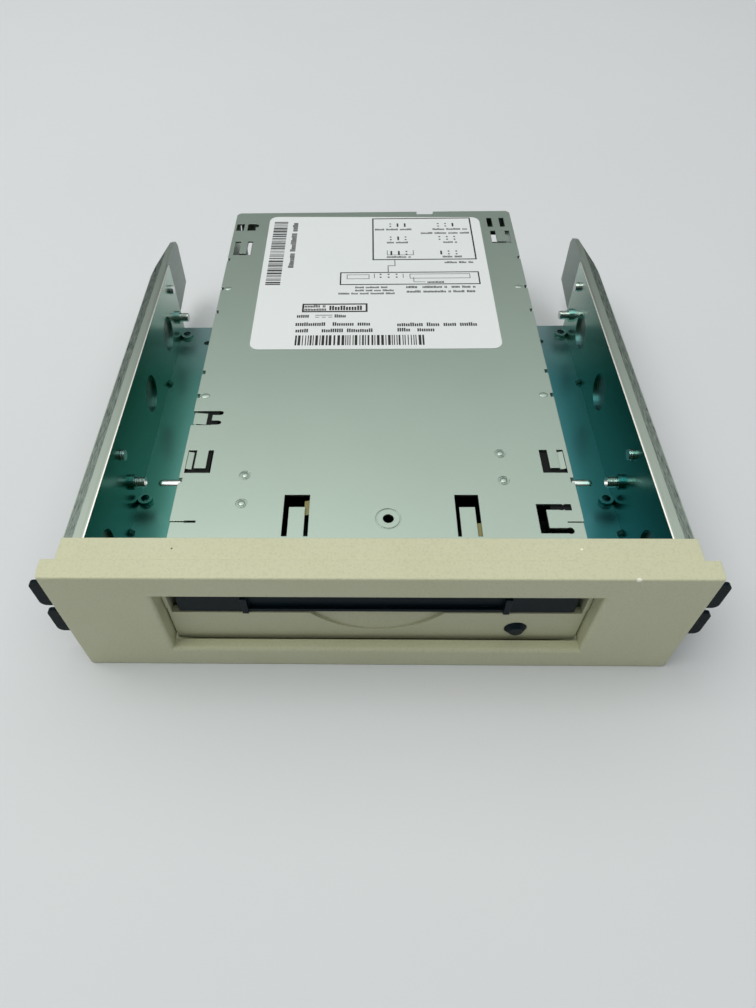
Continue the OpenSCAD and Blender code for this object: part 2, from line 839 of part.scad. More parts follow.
// Spring latch: a forked leaf in the rail's channel, with two prongs that reach out in front
module latch_anchors() {
  color("#10181c")
    both_sides()
      difference() {
        block([rail_in + rail_t, rail_in + rail_t + anchor_w],
          [latch_pivot_y + anchor_gap, latch_pivot_y + anchor_gap + anchor_l],
          [latch_z - leaf_h / 2, latch_z + leaf_h / 2]);
        for (z = [low_z, high_z])
          rod_x_axis([rail_in, rail_out + cut], bay_rows[0], z, head_r + seat_gap);
      }
}
module prong_outline(z) {
  polygon(concat(
    [[prong_in, z[0]]],
    arc([latch_reach - prong_r, z[0] + prong_r], prong_r, -90, 0),
    arc([latch_reach - prong_r, z[1] - prong_r], prong_r, 0, 90),
    [[prong_in, z[1]]]));
}
module latch() {
  low = [prong_mid - prong_gap / 2 - prong_h, prong_mid - prong_gap / 2];
  high = [prong_mid + prong_gap / 2, prong_mid + prong_gap / 2 + prong_h];
  for (z = [low, high])
    along_y([prong_y, prong_y + prong_t])
      prong_outline(z);
  difference() {
    block([leaf_in, leaf_in + leaf_t], [prong_y, latch_pivot_y - leaf_t / 2],
      [latch_z - leaf_h / 2, latch_z + leaf_h / 2]);
    block([leaf_in - cut, leaf_in + leaf_t + cut], [prong_y - cut, latch_pivot_y - anchor_l],
      [latch_z - leaf_slot_h / 2, latch_z + leaf_slot_h / 2]);
  }
  rod_z_axis(leaf_in + leaf_t / 2, latch_pivot_y - leaf_t / 2,
    [latch_z - leaf_h / 2, latch_z + leaf_h / 2], leaf_t / 2);
}
module right_latch() {
  color("#0d1519")
    latch();
}
module left_latch() {
  color("#0d1519")
    mirror([1, 0, 0])
      latch();
}

// Screws that hold the drive on the tray's pads, their heads inside the hollow pads
module drive_mount_screws() {
  color("#cfd6d2")
    both_sides()
      for (y = mount_y)
        translate([mount_x, y, drive_z - pad_step * sheet_t])
          rotate([0, -90, 0])
            screw_x(pad_step * sheet_t + mount_reach);
}

// The drive's die-cast chassis: floor, low side walls, bosses, posts and spring lugs
module drive_chassis() {
  bore_top = drive_z + mount_reach + seat_gap;
  color("#8d9796")
    difference() {
      union() {
        block([-chassis_half, chassis_half], [metal_y, rear_y - chassis_rear_gap], [drive_z, floor_z]);
        block([-cheek_in + seat_gap, cheek_in - seat_gap], [panel_y + panel_t + seat_gap, metal_y + cut],
          [drive_z, floor_z]);
        both_sides() {
          block([chassis_half - chassis_wall, chassis_half], [metal_y, rear_y - chassis_rear_gap], [drive_z, wall_z]);
          for (y = mount_y)
            block([mount_x - 2 * screw_r, chassis_half], [y - 2 * screw_r, y + 2 * screw_r],
              [drive_z, bore_top]);
          for (y = stand_y)
            rod_z_axis(stand_x, y, [drive_z, pcb_z], stand_r);
          for (y = [front_post_y, rear_post_y])
            block([rod_x - post_w / 2, rod_x + post_w / 2], [y, y + post_l],
              [drive_z, rod_z + rod_r + post_grip]);
          for (y = [yoke_front + yoke_leg_in, yoke_rear - yoke_leg_in])
            rod_z_axis((yoke_in + yoke_out) / 2, y, [drive_z, rod_z - yoke_gap / 2 - yoke_t], yoke_leg_r);
          for (y = [anchor_lug_y, ledge_y])
            block([sled_half - ledge_w, chassis_half], [y, y + sled_lug_l], [drive_z, sled_z - slide_gap]);
        }
      }
      both_sides() {
        for (y = mount_y)
          rod_z_axis(mount_x, y, [drive_z - cut, drive_z + mount_reach + screw_gap], screw_r + pin_gap);
        for (y = stand_y)
          rod_z_axis(stand_x, y, [floor_z, pcb_z + cut], board_screw_r + pin_gap);
        for (y = [front_post_y, rear_post_y])
          rod_y_axis(rod_x, [y - cut, y + post_l + cut], rod_z, rod_r + pin_gap / 2);
        for (y = chassis_screw_y)
          rod_x_axis([chassis_half - chassis_wall - cut, chassis_half + cut], y,
            floor_z + chassis_screw_rise, chassis_screw_r + pin_gap);
      }
    }
}

// The drive's zinc-plated cover with its punched slots, tabs, notches and dimples
module punched_slots() {
  z = [cover_in - cut, drive_top + cut];
  for (s = side_slot_shares)
    difference() {
      block(span_x(s[0]), span_y(s[1]), z);
      block(span_x(s[2]), span_y(s[3]), [z[0] - cut, z[1] + cut]);
    }
  for (s = bare_slot_shares)
    block(span_x(s[0]), span_y(s[1]), z);
  for (s = slit_shares)
    block(span_x(s), [metal_y - slit_w, metal_y], z);
  for (s = relief_shares)
    rod_z_axis(s[0] * half_w, depth_at(s[1]), z, s[2]);
  block(span_x(rear_notch_shares), [rear_y - rear_notch_d, rear_y + cut],
    [drive_top - rear_notch_drop, drive_top + cut]);
}
module drive_cover() {
  z = [drive_top - dimple_d, drive_top + cut];
  color("#a4b3a8")
    difference() {
      union() {
        block([-half_w, half_w], [metal_y, rear_y], [cover_in, drive_top]);
        block([-panel_half, panel_half], [panel_y + cover_tail, metal_y + cut], [cover_in, drive_top]);
        both_sides()
          block([half_w - cover_t, half_w], [metal_y, rear_y - sheet_t], [cover_low, drive_top]);
        block([-half_w + rear_clip, half_w - rear_clip], [rear_y - cover_t, rear_y],
          [drive_top - rear_flange_h, drive_top]);
      }
      punched_slots();
      both_sides() {
        for (s = notch_shares)
          block([half_w - notch_w, half_w + cut], [depth_at(s) - notch_l / 2, depth_at(s) + notch_l / 2],
            [drive_top - 3 * cover_t, drive_top + cut]);
        translate([half_w, rear_y, cover_low - cut])
          rotate([0, 0, 45])
            translate([-rear_clip, -rear_clip, 0])
              cube([2 * rear_clip, 2 * rear_clip, drive_h + 2 * cut]);
        for (y = chassis_screw_y)
          rod_x_axis([half_w - cover_t - cut, half_w + cut], y,
            floor_z + chassis_screw_rise, chassis_screw_r + screw_gap);
      }
      for (p = dimple_shares)
        difference() {
          rod_z_axis(p[0] * half_w, depth_at(p[1]), z, dimple_r);
          rod_z_axis(p[0] * half_w, depth_at(p[1]), [z[0] - cut, z[1] + cut], dimple_r - dimple_ring);
        }
      difference() {
        rod_z_axis(centre_hole_shares[0] * half_w, depth_at(centre_hole_shares[1]), z, centre_ring_r);
        rod_z_axis(centre_hole_shares[0] * half_w, depth_at(centre_hole_shares[1]),
          [z[0] - cut, z[1] + cut], centre_ring_r - dimple_ring);
      }
      rod_z_axis(centre_hole_shares[0] * half_w, depth_at(centre_hole_shares[1]),
        [cover_in - cut, drive_top + cut], centre_hole_r);
    }
}
module product_label() {
  l = label_x - label_w / 2;
  r = label_x + label_w / 2;
  back = label_y + label_d;
  color("#e6e9e6")
    along_z([drive_top, drive_top + label_t])
      polygon(concat(
        arc([r - label_r, label_y + label_r], label_r, -90, 0),
        arc([r - label_r, back - label_skew - label_r], label_r, 0, 90),
        arc([l + label_r, back - label_r], label_r, 90, 180),
        arc([l + label_r, label_y + label_r], label_r, 180, 270)));
}
module chassis_screws() {
  color("#b9c0bd")
    both_sides()
      for (y = chassis_screw_y)
        translate([half_w, y, floor_z + chassis_screw_rise])
          rotate([0, 0, 180])
            screw_x(cover_t + seat_gap + chassis_wall, chassis_screw_r, chassis_head_r, chassis_head_h);
}

// The drive's faceplate: lower panel with a finger scoop, upper bar, hinge lugs, side cheeks
module faceplate() {
  crest = drive_top + panel_crest;
  color("#8b8f79")
    difference() {
      union() {
        block([-panel_half, panel_half], [panel_y, panel_y + panel_t], [drive_z, slot_z]);
        block([-panel_half, panel_half], [panel_y, panel_y + panel_t], [drive_top - panel_bar_h, crest]);
        both_sides() {
          block([panel_half - lug_w, panel_half], [panel_y, panel_y + panel_t],
            [door_shoulder_z + lug_gap, crest]);
          block([cheek_in, cheek_out], [panel_y, metal_y - cheek_gap], [drive_z, cover_in - seat_gap]);
        }
      }
      intersection() {
        rod_y_axis(arc_x, [panel_y - cut, panel_y + panel_t], slot_z - arc_h + arc_r, arc_r);
        along_x([arc_x - arc_w, arc_x + arc_w])
          polygon([[panel_y - cut, slot_z - arc_h], [panel_y + arc_low_d, slot_z - arc_h],
            [panel_y + arc_top_d, slot_z], [panel_y + arc_top_d, slot_z + cut], [panel_y - cut, slot_z + cut]]);
      }
      both_sides()
        translate([panel_half, panel_y, drive_z - cut])
          rotate([0, 0, 45])
            translate([-panel_chamfer / 2, -panel_chamfer / 2, 0])
              cube([panel_chamfer, panel_chamfer, slot_rise + 2 * cut]);
      rod_y_axis(button_x, [panel_y - cut, panel_y + panel_t + cut], button_z, button_d / 2 + button_bore_gap);
      rod_x_axis([-panel_half + sheet_t, panel_half - sheet_t], pin_y, pin_z, pin_r + pin_gap);
    }
}

// The slot's flap: solid sides, a recessed middle above a lip, ribs, and a hinge barrel on a pin
module slot_door() {
  color("#1f2a30")
    difference() {
      union() {
        block([-door_half, door_half], [door_y, door_y + door_t], [door_low, door_shoulder_z]);
        block([-barrel_half, barrel_half - spring_room], [door_y, door_y + door_t],
          [door_shoulder_z - door_t, pin_z]);
        rod_x_axis([-barrel_half, barrel_half - spring_room], pin_y, pin_z, barrel_r);
        for (side = [-1, 1])
          block([side * (door_recess_half + rib_w / 2) - rib_w / 2,
            side * (door_recess_half + rib_w / 2) + rib_w / 2],
            [panel_y - rib_proud, door_y + door_t], [door_low, door_shoulder_z]);
      }
      block([-door_recess_half, door_recess_half], [door_y - cut, door_y + door_recess_d],
        [door_low + door_lip_h, door_shoulder_z]);
      rod_x_axis([-door_half, door_half], pin_y, pin_z, pin_r + pin_gap);
    }
}
module door_pin() {
  color("#b9c0bd")
    rod_x_axis([-panel_half + sheet_t + seat_gap, panel_half - sheet_t - seat_gap], pin_y, pin_z, pin_r);
}
module door_spring() {
  color("#9ba3a1")
    translate([barrel_half - spring_room + seat_gap / 2, pin_y, pin_z])
      rotate([0, 90, 0])
        wire(door_coil_r, door_wire_r, door_turns * door_pitch, door_turns);
}

// Eject button with its return spring, switch, light and board
module eject_button() {
  color("#22303a") {
    translate([button_x, panel_y, button_z])
      rotate([90, 0, 0])
        cylinder(h = button_proud, r1 = button_d / 2, r2 = button_d / 2 - button_taper, $fn = round_fn);
    rod_y_axis(button_x, [panel_y, flange_y + button_flange_t / 2], button_z, button_d / 2);
    rod_y_axis(button_x, [flange_y, flange_y + button_flange_t], button_z, button_flange_r);
    rod_y_axis(button_x, [flange_y, stem_end], button_z, stem_r);
  }
}
module button_spring() {
  color("#9ba3a1")
    translate([button_x, flange_y + button_flange_t + spring_gap, button_z])
      rotate([-90, 0, 0])
        wire(button_coil_r, button_wire_r,
          switch_y - flange_y - button_flange_t - 2 * spring_gap, button_turns);
}
module eject_switch() {
  color("#2a2c2e") {
    block([button_x - switch_w / 2, button_x + switch_w / 2], [switch_y, front_board_y],
      [button_z - switch_h / 2, button_z + switch_h / 2]);
    rod_y_axis(button_x, [nub_y, switch_y + nub_h], button_z, nub_r);
  }
}
module activity_led() {
  color("#d9a441") {
    rod_y_axis(button_x + led_x, [front_board_y - led_l + led_r, front_board_y], button_z, led_r);
    translate([button_x + led_x, front_board_y - led_l + led_r, button_z])
      sphere(r = led_r, $fn = small_fn);
  }
}
module front_board() {
  color("#1f5a3c")
    block([button_x - front_board_span[0], button_x + front_board_span[1]],
      [front_board_y, front_board_y + board_t], [floor_z, floor_z + front_board_h]);
}

// Plastic guides under the cover that hold the cartridge down
module guide() {
  block([guide_in, guide_half], [panel_y + guide_setback, panel_y + guide_setback + guide_l],
    [cart_top + guide_t, cover_in]);
  block([guide_in, guide_in + guide_t], [panel_y + guide_setback, panel_y + guide_setback + guide_l],
    [cart_top, cover_in]);
}
module right_guide() {
  color("#3a3f42")
    guide();
}
module left_guide() {
  color("#3a3f42")
    mirror([1, 0, 0])
      guide();
}

// Spindle motor and the hub that grips the cartridge's disk
module spindle_motor() {
  color("#6f7678")
    difference() {
      union() {
        rod_z_axis(0, motor_y, [floor_z, motor_top - motor_step], motor_d / 2);
        rod_z_axis(0, motor_y, [floor_z, motor_top], hub_d / 2 + motor_step);
        rod_z_axis(0, motor_y, [floor_z, hub_top - shaft_drop], shaft_r);
      }
    }
}
module spindle_hub() {
  color("#aeb4b3")
    difference() {
      union() {
        rod_z_axis(0, motor_y, [hub_low, hub_low + 2 * hub_flange_h], hub_d / 2);
        rod_z_axis(0, motor_y, [hub_low, hub_top], hub_boss_r);
      }
      rod_z_axis(0, motor_y, [hub_low - cut, hub_top - shaft_drop + seat_gap], shaft_r + pin_gap);
      for (a = [0:60:300])
        rod_z_axis(magnet_ring_r * cos(a), motor_y + magnet_ring_r * sin(a),
          [hub_low + hub_flange_h, hub_low + 2 * hub_flange_h + cut], magnet_hole_r);
    }
}

// Main board, its parts and the connectors along the rear edge
module circuit_board() {
  color("#2f6b3f")
    difference() {
      block([-pcb_half, pcb_half], [pcb_front, pcb_rear], [pcb_z, pcb_top]);
      both_sides() {
        for (y = stand_y)
          rod_z_axis(stand_x, y, [pcb_z - cut, pcb_top + cut], board_screw_r + screw_gap);
        for (y = mount_y)
          block([mount_x - 2 * screw_r - board_gap, pcb_half + cut],
            [y - 2 * screw_r - board_gap, y + 2 * screw_r + board_gap], [pcb_z - cut, pcb_top + cut]);
        for (y = [front_post_y, rear_post_y])
          block([rod_x - post_w / 2 - board_gap, rod_x + post_w / 2 + board_gap],
            [y - board_gap, y + post_l + board_gap], [pcb_z - cut, pcb_top + cut]);
        for (y = [yoke_front + yoke_leg_in, yoke_rear - yoke_leg_in])
          rod_z_axis((yoke_in + yoke_out) / 2, y, [pcb_z - cut, pcb_top + cut], yoke_leg_r + board_gap);
      }
    }
}
module board_chips() {
  l = pcb_rear - data_d - pcb_front;
  color("#1d1f21")
    for (c = chip_shares)
      translate([(c[0] - c[2] / 2) * pcb_half, pcb_front + (c[1] - c[3] / 2) * l, pcb_top])
        cube([c[2] * pcb_half, c[3] * l, c[4] * pcb_t]);
}
module board_screws() {
  color("#b9c0bd")
    both_sides()
      for (y = stand_y)
        translate([stand_x, y, pcb_top])
          rotate([0, 90, 0])
            screw_x(pcb_t + pcb_lift - seat_gap, board_screw_r, board_head_r, board_head_h);
}
module data_connector() {
  x = [data_x - data_w / 2, data_x + data_w / 2];
  color("#25282a")
    difference() {
      block(x, [conn_rear - data_d, conn_rear], [pcb_top, pcb_top + data_h]);
      block([x[0] + data_wall, x[1] - data_wall], [conn_rear - data_d + 2 * data_wall, conn_rear + cut],
        [pcb_top + data_wall, pcb_top + data_h - data_wall]);
      block([data_x - key_w / 2, data_x + key_w / 2], [conn_rear - data_d + 2 * data_wall, conn_rear + cut],
        [pcb_top + data_h - 2 * data_wall, pcb_top + data_h + cut]);
      for (i = [0:19], j = [0, 1])
        block([data_x + (i - 9.5) * pin_pitch - pin_w / 2 - pin_gap, data_x + (i - 9.5) * pin_pitch + pin_w / 2 + pin_gap],
          [conn_rear - data_d - cut, conn_rear],
          [pcb_top + data_h / 2 + (j - 0.5) * pin_pitch - pin_w / 2 - pin_gap,
            pcb_top + data_h / 2 + (j - 0.5) * pin_pitch + pin_w / 2 + pin_gap]);
    }
}
module data_pins() {
  color("#c9a24a")
    for (i = [0:19], j = [0, 1])
      block([data_x + (i - 9.5) * pin_pitch - pin_w / 2, data_x + (i - 9.5) * pin_pitch + pin_w / 2],
        [conn_rear - data_d - pin_tail, conn_rear - data_wall],
        [pcb_top + data_h / 2 + (j - 0.5) * pin_pitch - pin_w / 2,
          pcb_top + data_h / 2 + (j - 0.5) * pin_pitch + pin_w / 2]);
}
module power_connector() {
  x = [power_x - power_w / 2, power_x + power_w / 2];
  color("#d8d6cb")
    difference() {
      block(x, [conn_rear - power_d, conn_rear], [pcb_top, pcb_top + power_h]);
      block([x[0] + power_wall, x[1] - power_wall], [conn_rear - power_d + 2 * power_wall, conn_rear + cut],
        [pcb_top + power_wall, pcb_top + power_h - power_wall]);
      for (i = [0:3])
        rod_y_axis(power_x + (i - 1.5) * power_pitch, [conn_rear - power_d - cut, conn_rear],
          pcb_top + power_h / 2, power_pin_r + pin_gap);
    }
}
module power_pins() {
  color("#c4c9c6")
    for (i = [0:3])
      rod_y_axis(power_x + (i - 1.5) * power_pitch, [conn_rear - power_d - pin_tail, conn_rear - 2 * power_wall],
        pcb_top + power_h / 2, power_pin_r);
}
module jumper_block() {
  color("#2a2c2e")
    block([jumper_x - jumper_w / 2, jumper_x + jumper_w / 2], [pcb_rear - jumper_d, pcb_rear],
      [pcb_top, pcb_top + jumper_h]);
  color("#c9a24a")
    for (i = [0:2], j = [0, 1])
      block([jumper_x + (i - 1) * pin_pitch - pin_w / 2, jumper_x + (i - 1) * pin_pitch + pin_w / 2],
        [pcb_rear - jumper_d / 2 + (j - 0.5) * pin_pitch - pin_w / 2,
          pcb_rear - jumper_d / 2 + (j - 0.5) * pin_pitch + pin_w / 2],
        [pcb_top + jumper_h / 2, pcb_top + jumper_h + jumper_pin_h]);
}
module jumper_cap() {
  y = pcb_rear - jumper_d / 2;
  z = pcb_top + jumper_h + seat_gap;
  color("#1a1c1e")
    difference() {
      block([jumper_x - pin_pitch / 2 + pin_gap, jumper_x + pin_pitch / 2 - pin_gap],
        [y - pin_pitch + pin_gap, y + pin_pitch - pin_gap], [z, z + cap_h]);
      for (j = [0, 1])
        block([jumper_x - pin_w / 2 - pin_gap, jumper_x + pin_w / 2 + pin_gap],
          [y + (j - 0.5) * pin_pitch - pin_w / 2 - pin_gap, y + (j - 0.5) * pin_pitch + pin_w / 2 + pin_gap],
          [z - cut, z + cap_h + cut]);
    }
}

// Rods, carriage, arms, coils and yokes of the head actuator
module guide_rods() {
  color("#c4cac8")
    both_sides()
      rod_y_axis(rod_x, [front_post_y, rear_post_y + post_l], rod_z, rod_r);
}
module head_carriage() {
  y = [carriage_park, carriage_park + carriage_l];
  color("#2e3336")
    difference() {
      union() {
        block([-carriage_half, carriage_half], y, [rod_z - carriage_h / 2, rod_z + carriage_h / 2]);
        block([-tower_half, tower_half], y, [rod_z, tower_top]);
      }
      both_sides()
        rod_y_axis(rod_x, [y[0] - cut, y[1] + cut], rod_z, rod_r + pin_gap);
    }
}
module head_arms() {
  y = [carriage_park - arm_l, carriage_park];
  color("#b5bbb9")
    for (rise = [arm_low_rise, arm_high_rise])
      block([-arm_w / 2, arm_w / 2], y, [slot_z + rise, slot_z + rise + arm_t]);
}
module voice_coils() {
  y = [carriage_park + coil_setback, carriage_park + coil_setback + coil_l];
  z = [rod_z - coil_t / 2, rod_z + coil_t / 2];
  color("#b06a3a")
    both_sides()
      difference() {
        block([carriage_half, coil_out], y, z);
        block([carriage_half + coil_bar, coil_out - coil_bar], [y[0] + coil_bar, y[1] - coil_bar],
          [z[0] - cut, z[1] + cut]);
      }
}
module magnet_yokes() {
  z = [rod_z - yoke_gap / 2 - yoke_t, rod_z + yoke_gap / 2 + yoke_t];
  color("#7d8587")
    both_sides()
      difference() {
        block([yoke_in, yoke_out], [yoke_front, yoke_rear], z);
        block([yoke_in - cut, yoke_out - yoke_t], [yoke_front - cut, yoke_rear + cut],
          [z[0] + yoke_t, z[1] - yoke_t]);
      }
}

// Sled that pushes the cartridge out, its springs, and the solenoid that lets it go
module eject_sled() {
  color("#3c4245")
    both_sides() {
      block([sled_half - sled_bar_w, sled_half], [sled_front, sled_rear], [sled_z, sled_z + sled_t]);
      block([0, sled_half], [sled_rear - sled_cross, sled_rear], [sled_z, sled_z + sled_t]);
      block([pusher_x - pusher_w / 2, pusher_x + pusher_w / 2], [sled_rear - pusher_l, sled_rear],
        [sled_z, pusher_top]);
      block([sled_half - cut, lug_x + sled_lug_half], [sled_lug_y, sled_lug_y + sled_lug_l],
        [sled_z - sled_lug_h, sled_z + sled_t]);
    }
}
module sled_springs() {
  color("#9ba3a1")
    both_sides()
      translate([lug_x, sled_lug_y + sled_lug_l + spring_gap, sled_z - sled_lug_h / 2])
        rotate([-90, 0, 0])
          wire(sled_coil_r, sled_wire_r, anchor_lug_y - sled_lug_y - sled_lug_l - 2 * spring_gap, sled_turns);
}
module eject_solenoid() {
  y = [solenoid_y, solenoid_y + solenoid_l];
  z = [pcb_top, pcb_top + solenoid_h];
  color("#8c9496")
    difference() {
      block([solenoid_x - solenoid_w / 2, solenoid_x + solenoid_w / 2], y, z);
      rod_y_axis(solenoid_x, [y[0] - cut, y[0] + plunger_in + plunger_travel + seat_gap],
        pcb_top + solenoid_h / 2, plunger_r + pin_gap);
    }
}
module solenoid_plunger() {
  z = pcb_top + solenoid_h / 2;
  color("#b9c0bd") {
    rod_y_axis(solenoid_x, [solenoid_y - plunger_nose, solenoid_y + plunger_in], z, plunger_r);
    rod_y_axis(solenoid_x, [solenoid_y - plunger_nose + collar_plunger_t,
      solenoid_y - plunger_nose + 2 * collar_plunger_t], z, collar_plunger_r);
  }
}
module plunger_spring() {
  start = solenoid_y - plunger_nose + 2 * collar_plunger_t + spring_gap;
  color("#9ba3a1")
    translate([solenoid_x, start, pcb_top + solenoid_h / 2])
      rotate([-90, 0, 0])
        wire(plunger_coil_r, plunger_wire_r, solenoid_y - start - spring_gap, plunger_turns);
}

translate([0, -depth / 2, 0]) {
  bay_bezel();
  adapter_tray();
  left_rail();
  right_rail();
  rail_screws();
  latch_anchors();
  left_latch();
  right_latch();
  drive_mount_screws();
  drive_chassis();
  drive_cover();
  product_label();
  chassis_screws();
  faceplate();
  slot_door();
  door_pin();
  door_spring();
  eject_button();
  button_spring();
  eject_switch();
  activity_led();
  front_board();
  left_guide();
  right_guide();
  spindle_motor();
  spindle_hub();
  circuit_board();
  board_chips();
  board_screws();
  data_connector();
  data_pins();
  power_connector();
  power_pins();
  jumper_block();
  jumper_cap();
  guide_rods();
  head_carriage();
  head_arms();
  voice_coils();
  magnet_yokes();
  eject_sled();
  sled_springs();
  eject_solenoid();
  solenoid_plunger();
  plunger_spring();
}
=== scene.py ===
# %% [markdown]
# # A removable-cartridge disk drive in its bay adapter
# The drive sits in a folded zinc tray behind a cream moulded bezel, with a steel slide rail and a
# dark sprung latch on each side. The solids come from the CAD frame and keep their shapes. This
# lesson gives them their finishes, and adds what is too fine for the CAD: the print on the label,
# the threads of the screws, the small forms pressed in the cover and the tape under it.

# %% Load the frame
import json
import math
import random
import bpy
import bmesh
from mathutils import Matrix, Vector


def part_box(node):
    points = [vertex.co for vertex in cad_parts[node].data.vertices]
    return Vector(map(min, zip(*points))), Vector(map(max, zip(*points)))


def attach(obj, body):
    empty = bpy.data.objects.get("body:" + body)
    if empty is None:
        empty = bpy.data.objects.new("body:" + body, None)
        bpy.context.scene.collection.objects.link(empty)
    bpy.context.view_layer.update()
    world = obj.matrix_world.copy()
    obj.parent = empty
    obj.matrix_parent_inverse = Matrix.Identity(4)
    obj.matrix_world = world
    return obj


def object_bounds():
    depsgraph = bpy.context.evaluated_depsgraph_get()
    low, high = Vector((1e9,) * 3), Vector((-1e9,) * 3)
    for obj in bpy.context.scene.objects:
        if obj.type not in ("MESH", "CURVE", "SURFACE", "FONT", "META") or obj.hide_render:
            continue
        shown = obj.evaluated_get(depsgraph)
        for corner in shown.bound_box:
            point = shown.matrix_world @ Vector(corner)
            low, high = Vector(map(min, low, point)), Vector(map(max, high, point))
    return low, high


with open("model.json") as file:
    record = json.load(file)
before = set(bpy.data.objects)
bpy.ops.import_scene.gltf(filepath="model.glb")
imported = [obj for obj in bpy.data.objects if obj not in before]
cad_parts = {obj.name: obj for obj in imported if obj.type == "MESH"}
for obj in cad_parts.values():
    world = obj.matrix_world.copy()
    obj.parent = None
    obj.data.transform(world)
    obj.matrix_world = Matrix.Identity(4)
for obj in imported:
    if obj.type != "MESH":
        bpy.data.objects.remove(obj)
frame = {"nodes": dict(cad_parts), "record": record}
cad_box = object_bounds()
MM = 0.001
print("CAD box in mm:", [[round(v / MM, 1) for v in corner] for corner in cad_box])

# %% [markdown]
# The photograph looks down on the drive from in front, from quite close. A short lens so near
# makes the bezel look wider than the tray behind it, so the camera's distance matters more than
# its lens. Its place and turn were worked out from known points of the drive, such as the bay's
# screw holes, and the film is shifted a little because the picture was cropped.

# %% Camera
FRAME_W, FRAME_H = 756, 1008
FOCAL_PX = 707.31
CENTRE_PX = (349.84, 486.43)
SENSOR = 36.0
CLIP_START = 0.01
CAMERA_PLACE = Vector((-1.88, -165.02, 171.5)) * MM
PAN, TILT, ROLL = math.radians(2.26), math.radians(-50.4), math.radians(1.74)

turn = Matrix.Rotation(PAN, 3, "Z") @ Matrix.Rotation(TILT, 3, "X") @ Matrix.Rotation(ROLL, 3, "Y")
right, forward, up = (turn.col[i] for i in range(3))
view_axes = Matrix((right, up, -forward)).transposed().to_4x4()
camera_data = bpy.data.cameras.new("photo_camera")
camera = bpy.data.objects.new("photo_camera", camera_data)
bpy.context.scene.collection.objects.link(camera)
camera.matrix_world = Matrix.Translation(CAMERA_PLACE) @ view_axes
camera_data.sensor_width = SENSOR
camera_data.lens = FOCAL_PX / FRAME_H * SENSOR
camera_data.shift_x = (FRAME_W / 2 - CENTRE_PX[0]) / FRAME_H
camera_data.shift_y = (CENTRE_PX[1] - FRAME_H / 2) / FRAME_H
camera_data.clip_start = CLIP_START
bpy.context.scene.camera = camera
print("lens in mm:", round(camera_data.lens, 2))

# %% [markdown]
# Every colour here is written as the hex value that a screen shows. Blender mixes light in linear
# values, so one function turns the one into the other. A second one adds a node with its settings
# and its links, which keeps each finish short enough to read.

# %% Helpers for finishes
def linear(hex_colour, alpha=1.0):
    parts = [int(hex_colour[i:i + 2], 16) / 255 for i in (1, 3, 5)]
    return [p / 12.92 if p <= 0.04045 else ((p + 0.055) / 1.055) ** 2.4 for p in parts] + [alpha]


def add_node(tree, kind, settings=None, links=None):
    node = tree.nodes.new(kind)
    for key, value in (settings or {}).items():
        if isinstance(key, int) or key in node.inputs:
            node.inputs[key].default_value = value
        else:
            setattr(node, key, value)
    for key, socket in (links or {}).items():
        tree.links.new(socket, node.inputs[key])
    return node


# %% [markdown]
# Most finishes share one build. A fine noise at the real size of the grain lifts the surface and
# varies its gloss, and a broad one shifts its colour, as handling and plating baths do. The edges
# are softened by a fraction of a millimetre, as any moulding or sheet has them, and where the
# softened edge turns away from the flat face its colour can be lightened, partly as wear and partly
# as a painted highlight along the edge. Each finish gives its own colours, sizes and gloss.

# %% A finish with grain, drift of colour and worn edges with painted highlights
BUMP_STRENGTH = 0.4
FINE_DETAIL, BROAD_DETAIL = 2.0, 3.0
EDGE_SAMPLES = 4
EDGE_LIGHT_FROM, EDGE_LIGHT_FULL = 0.995, 0.85


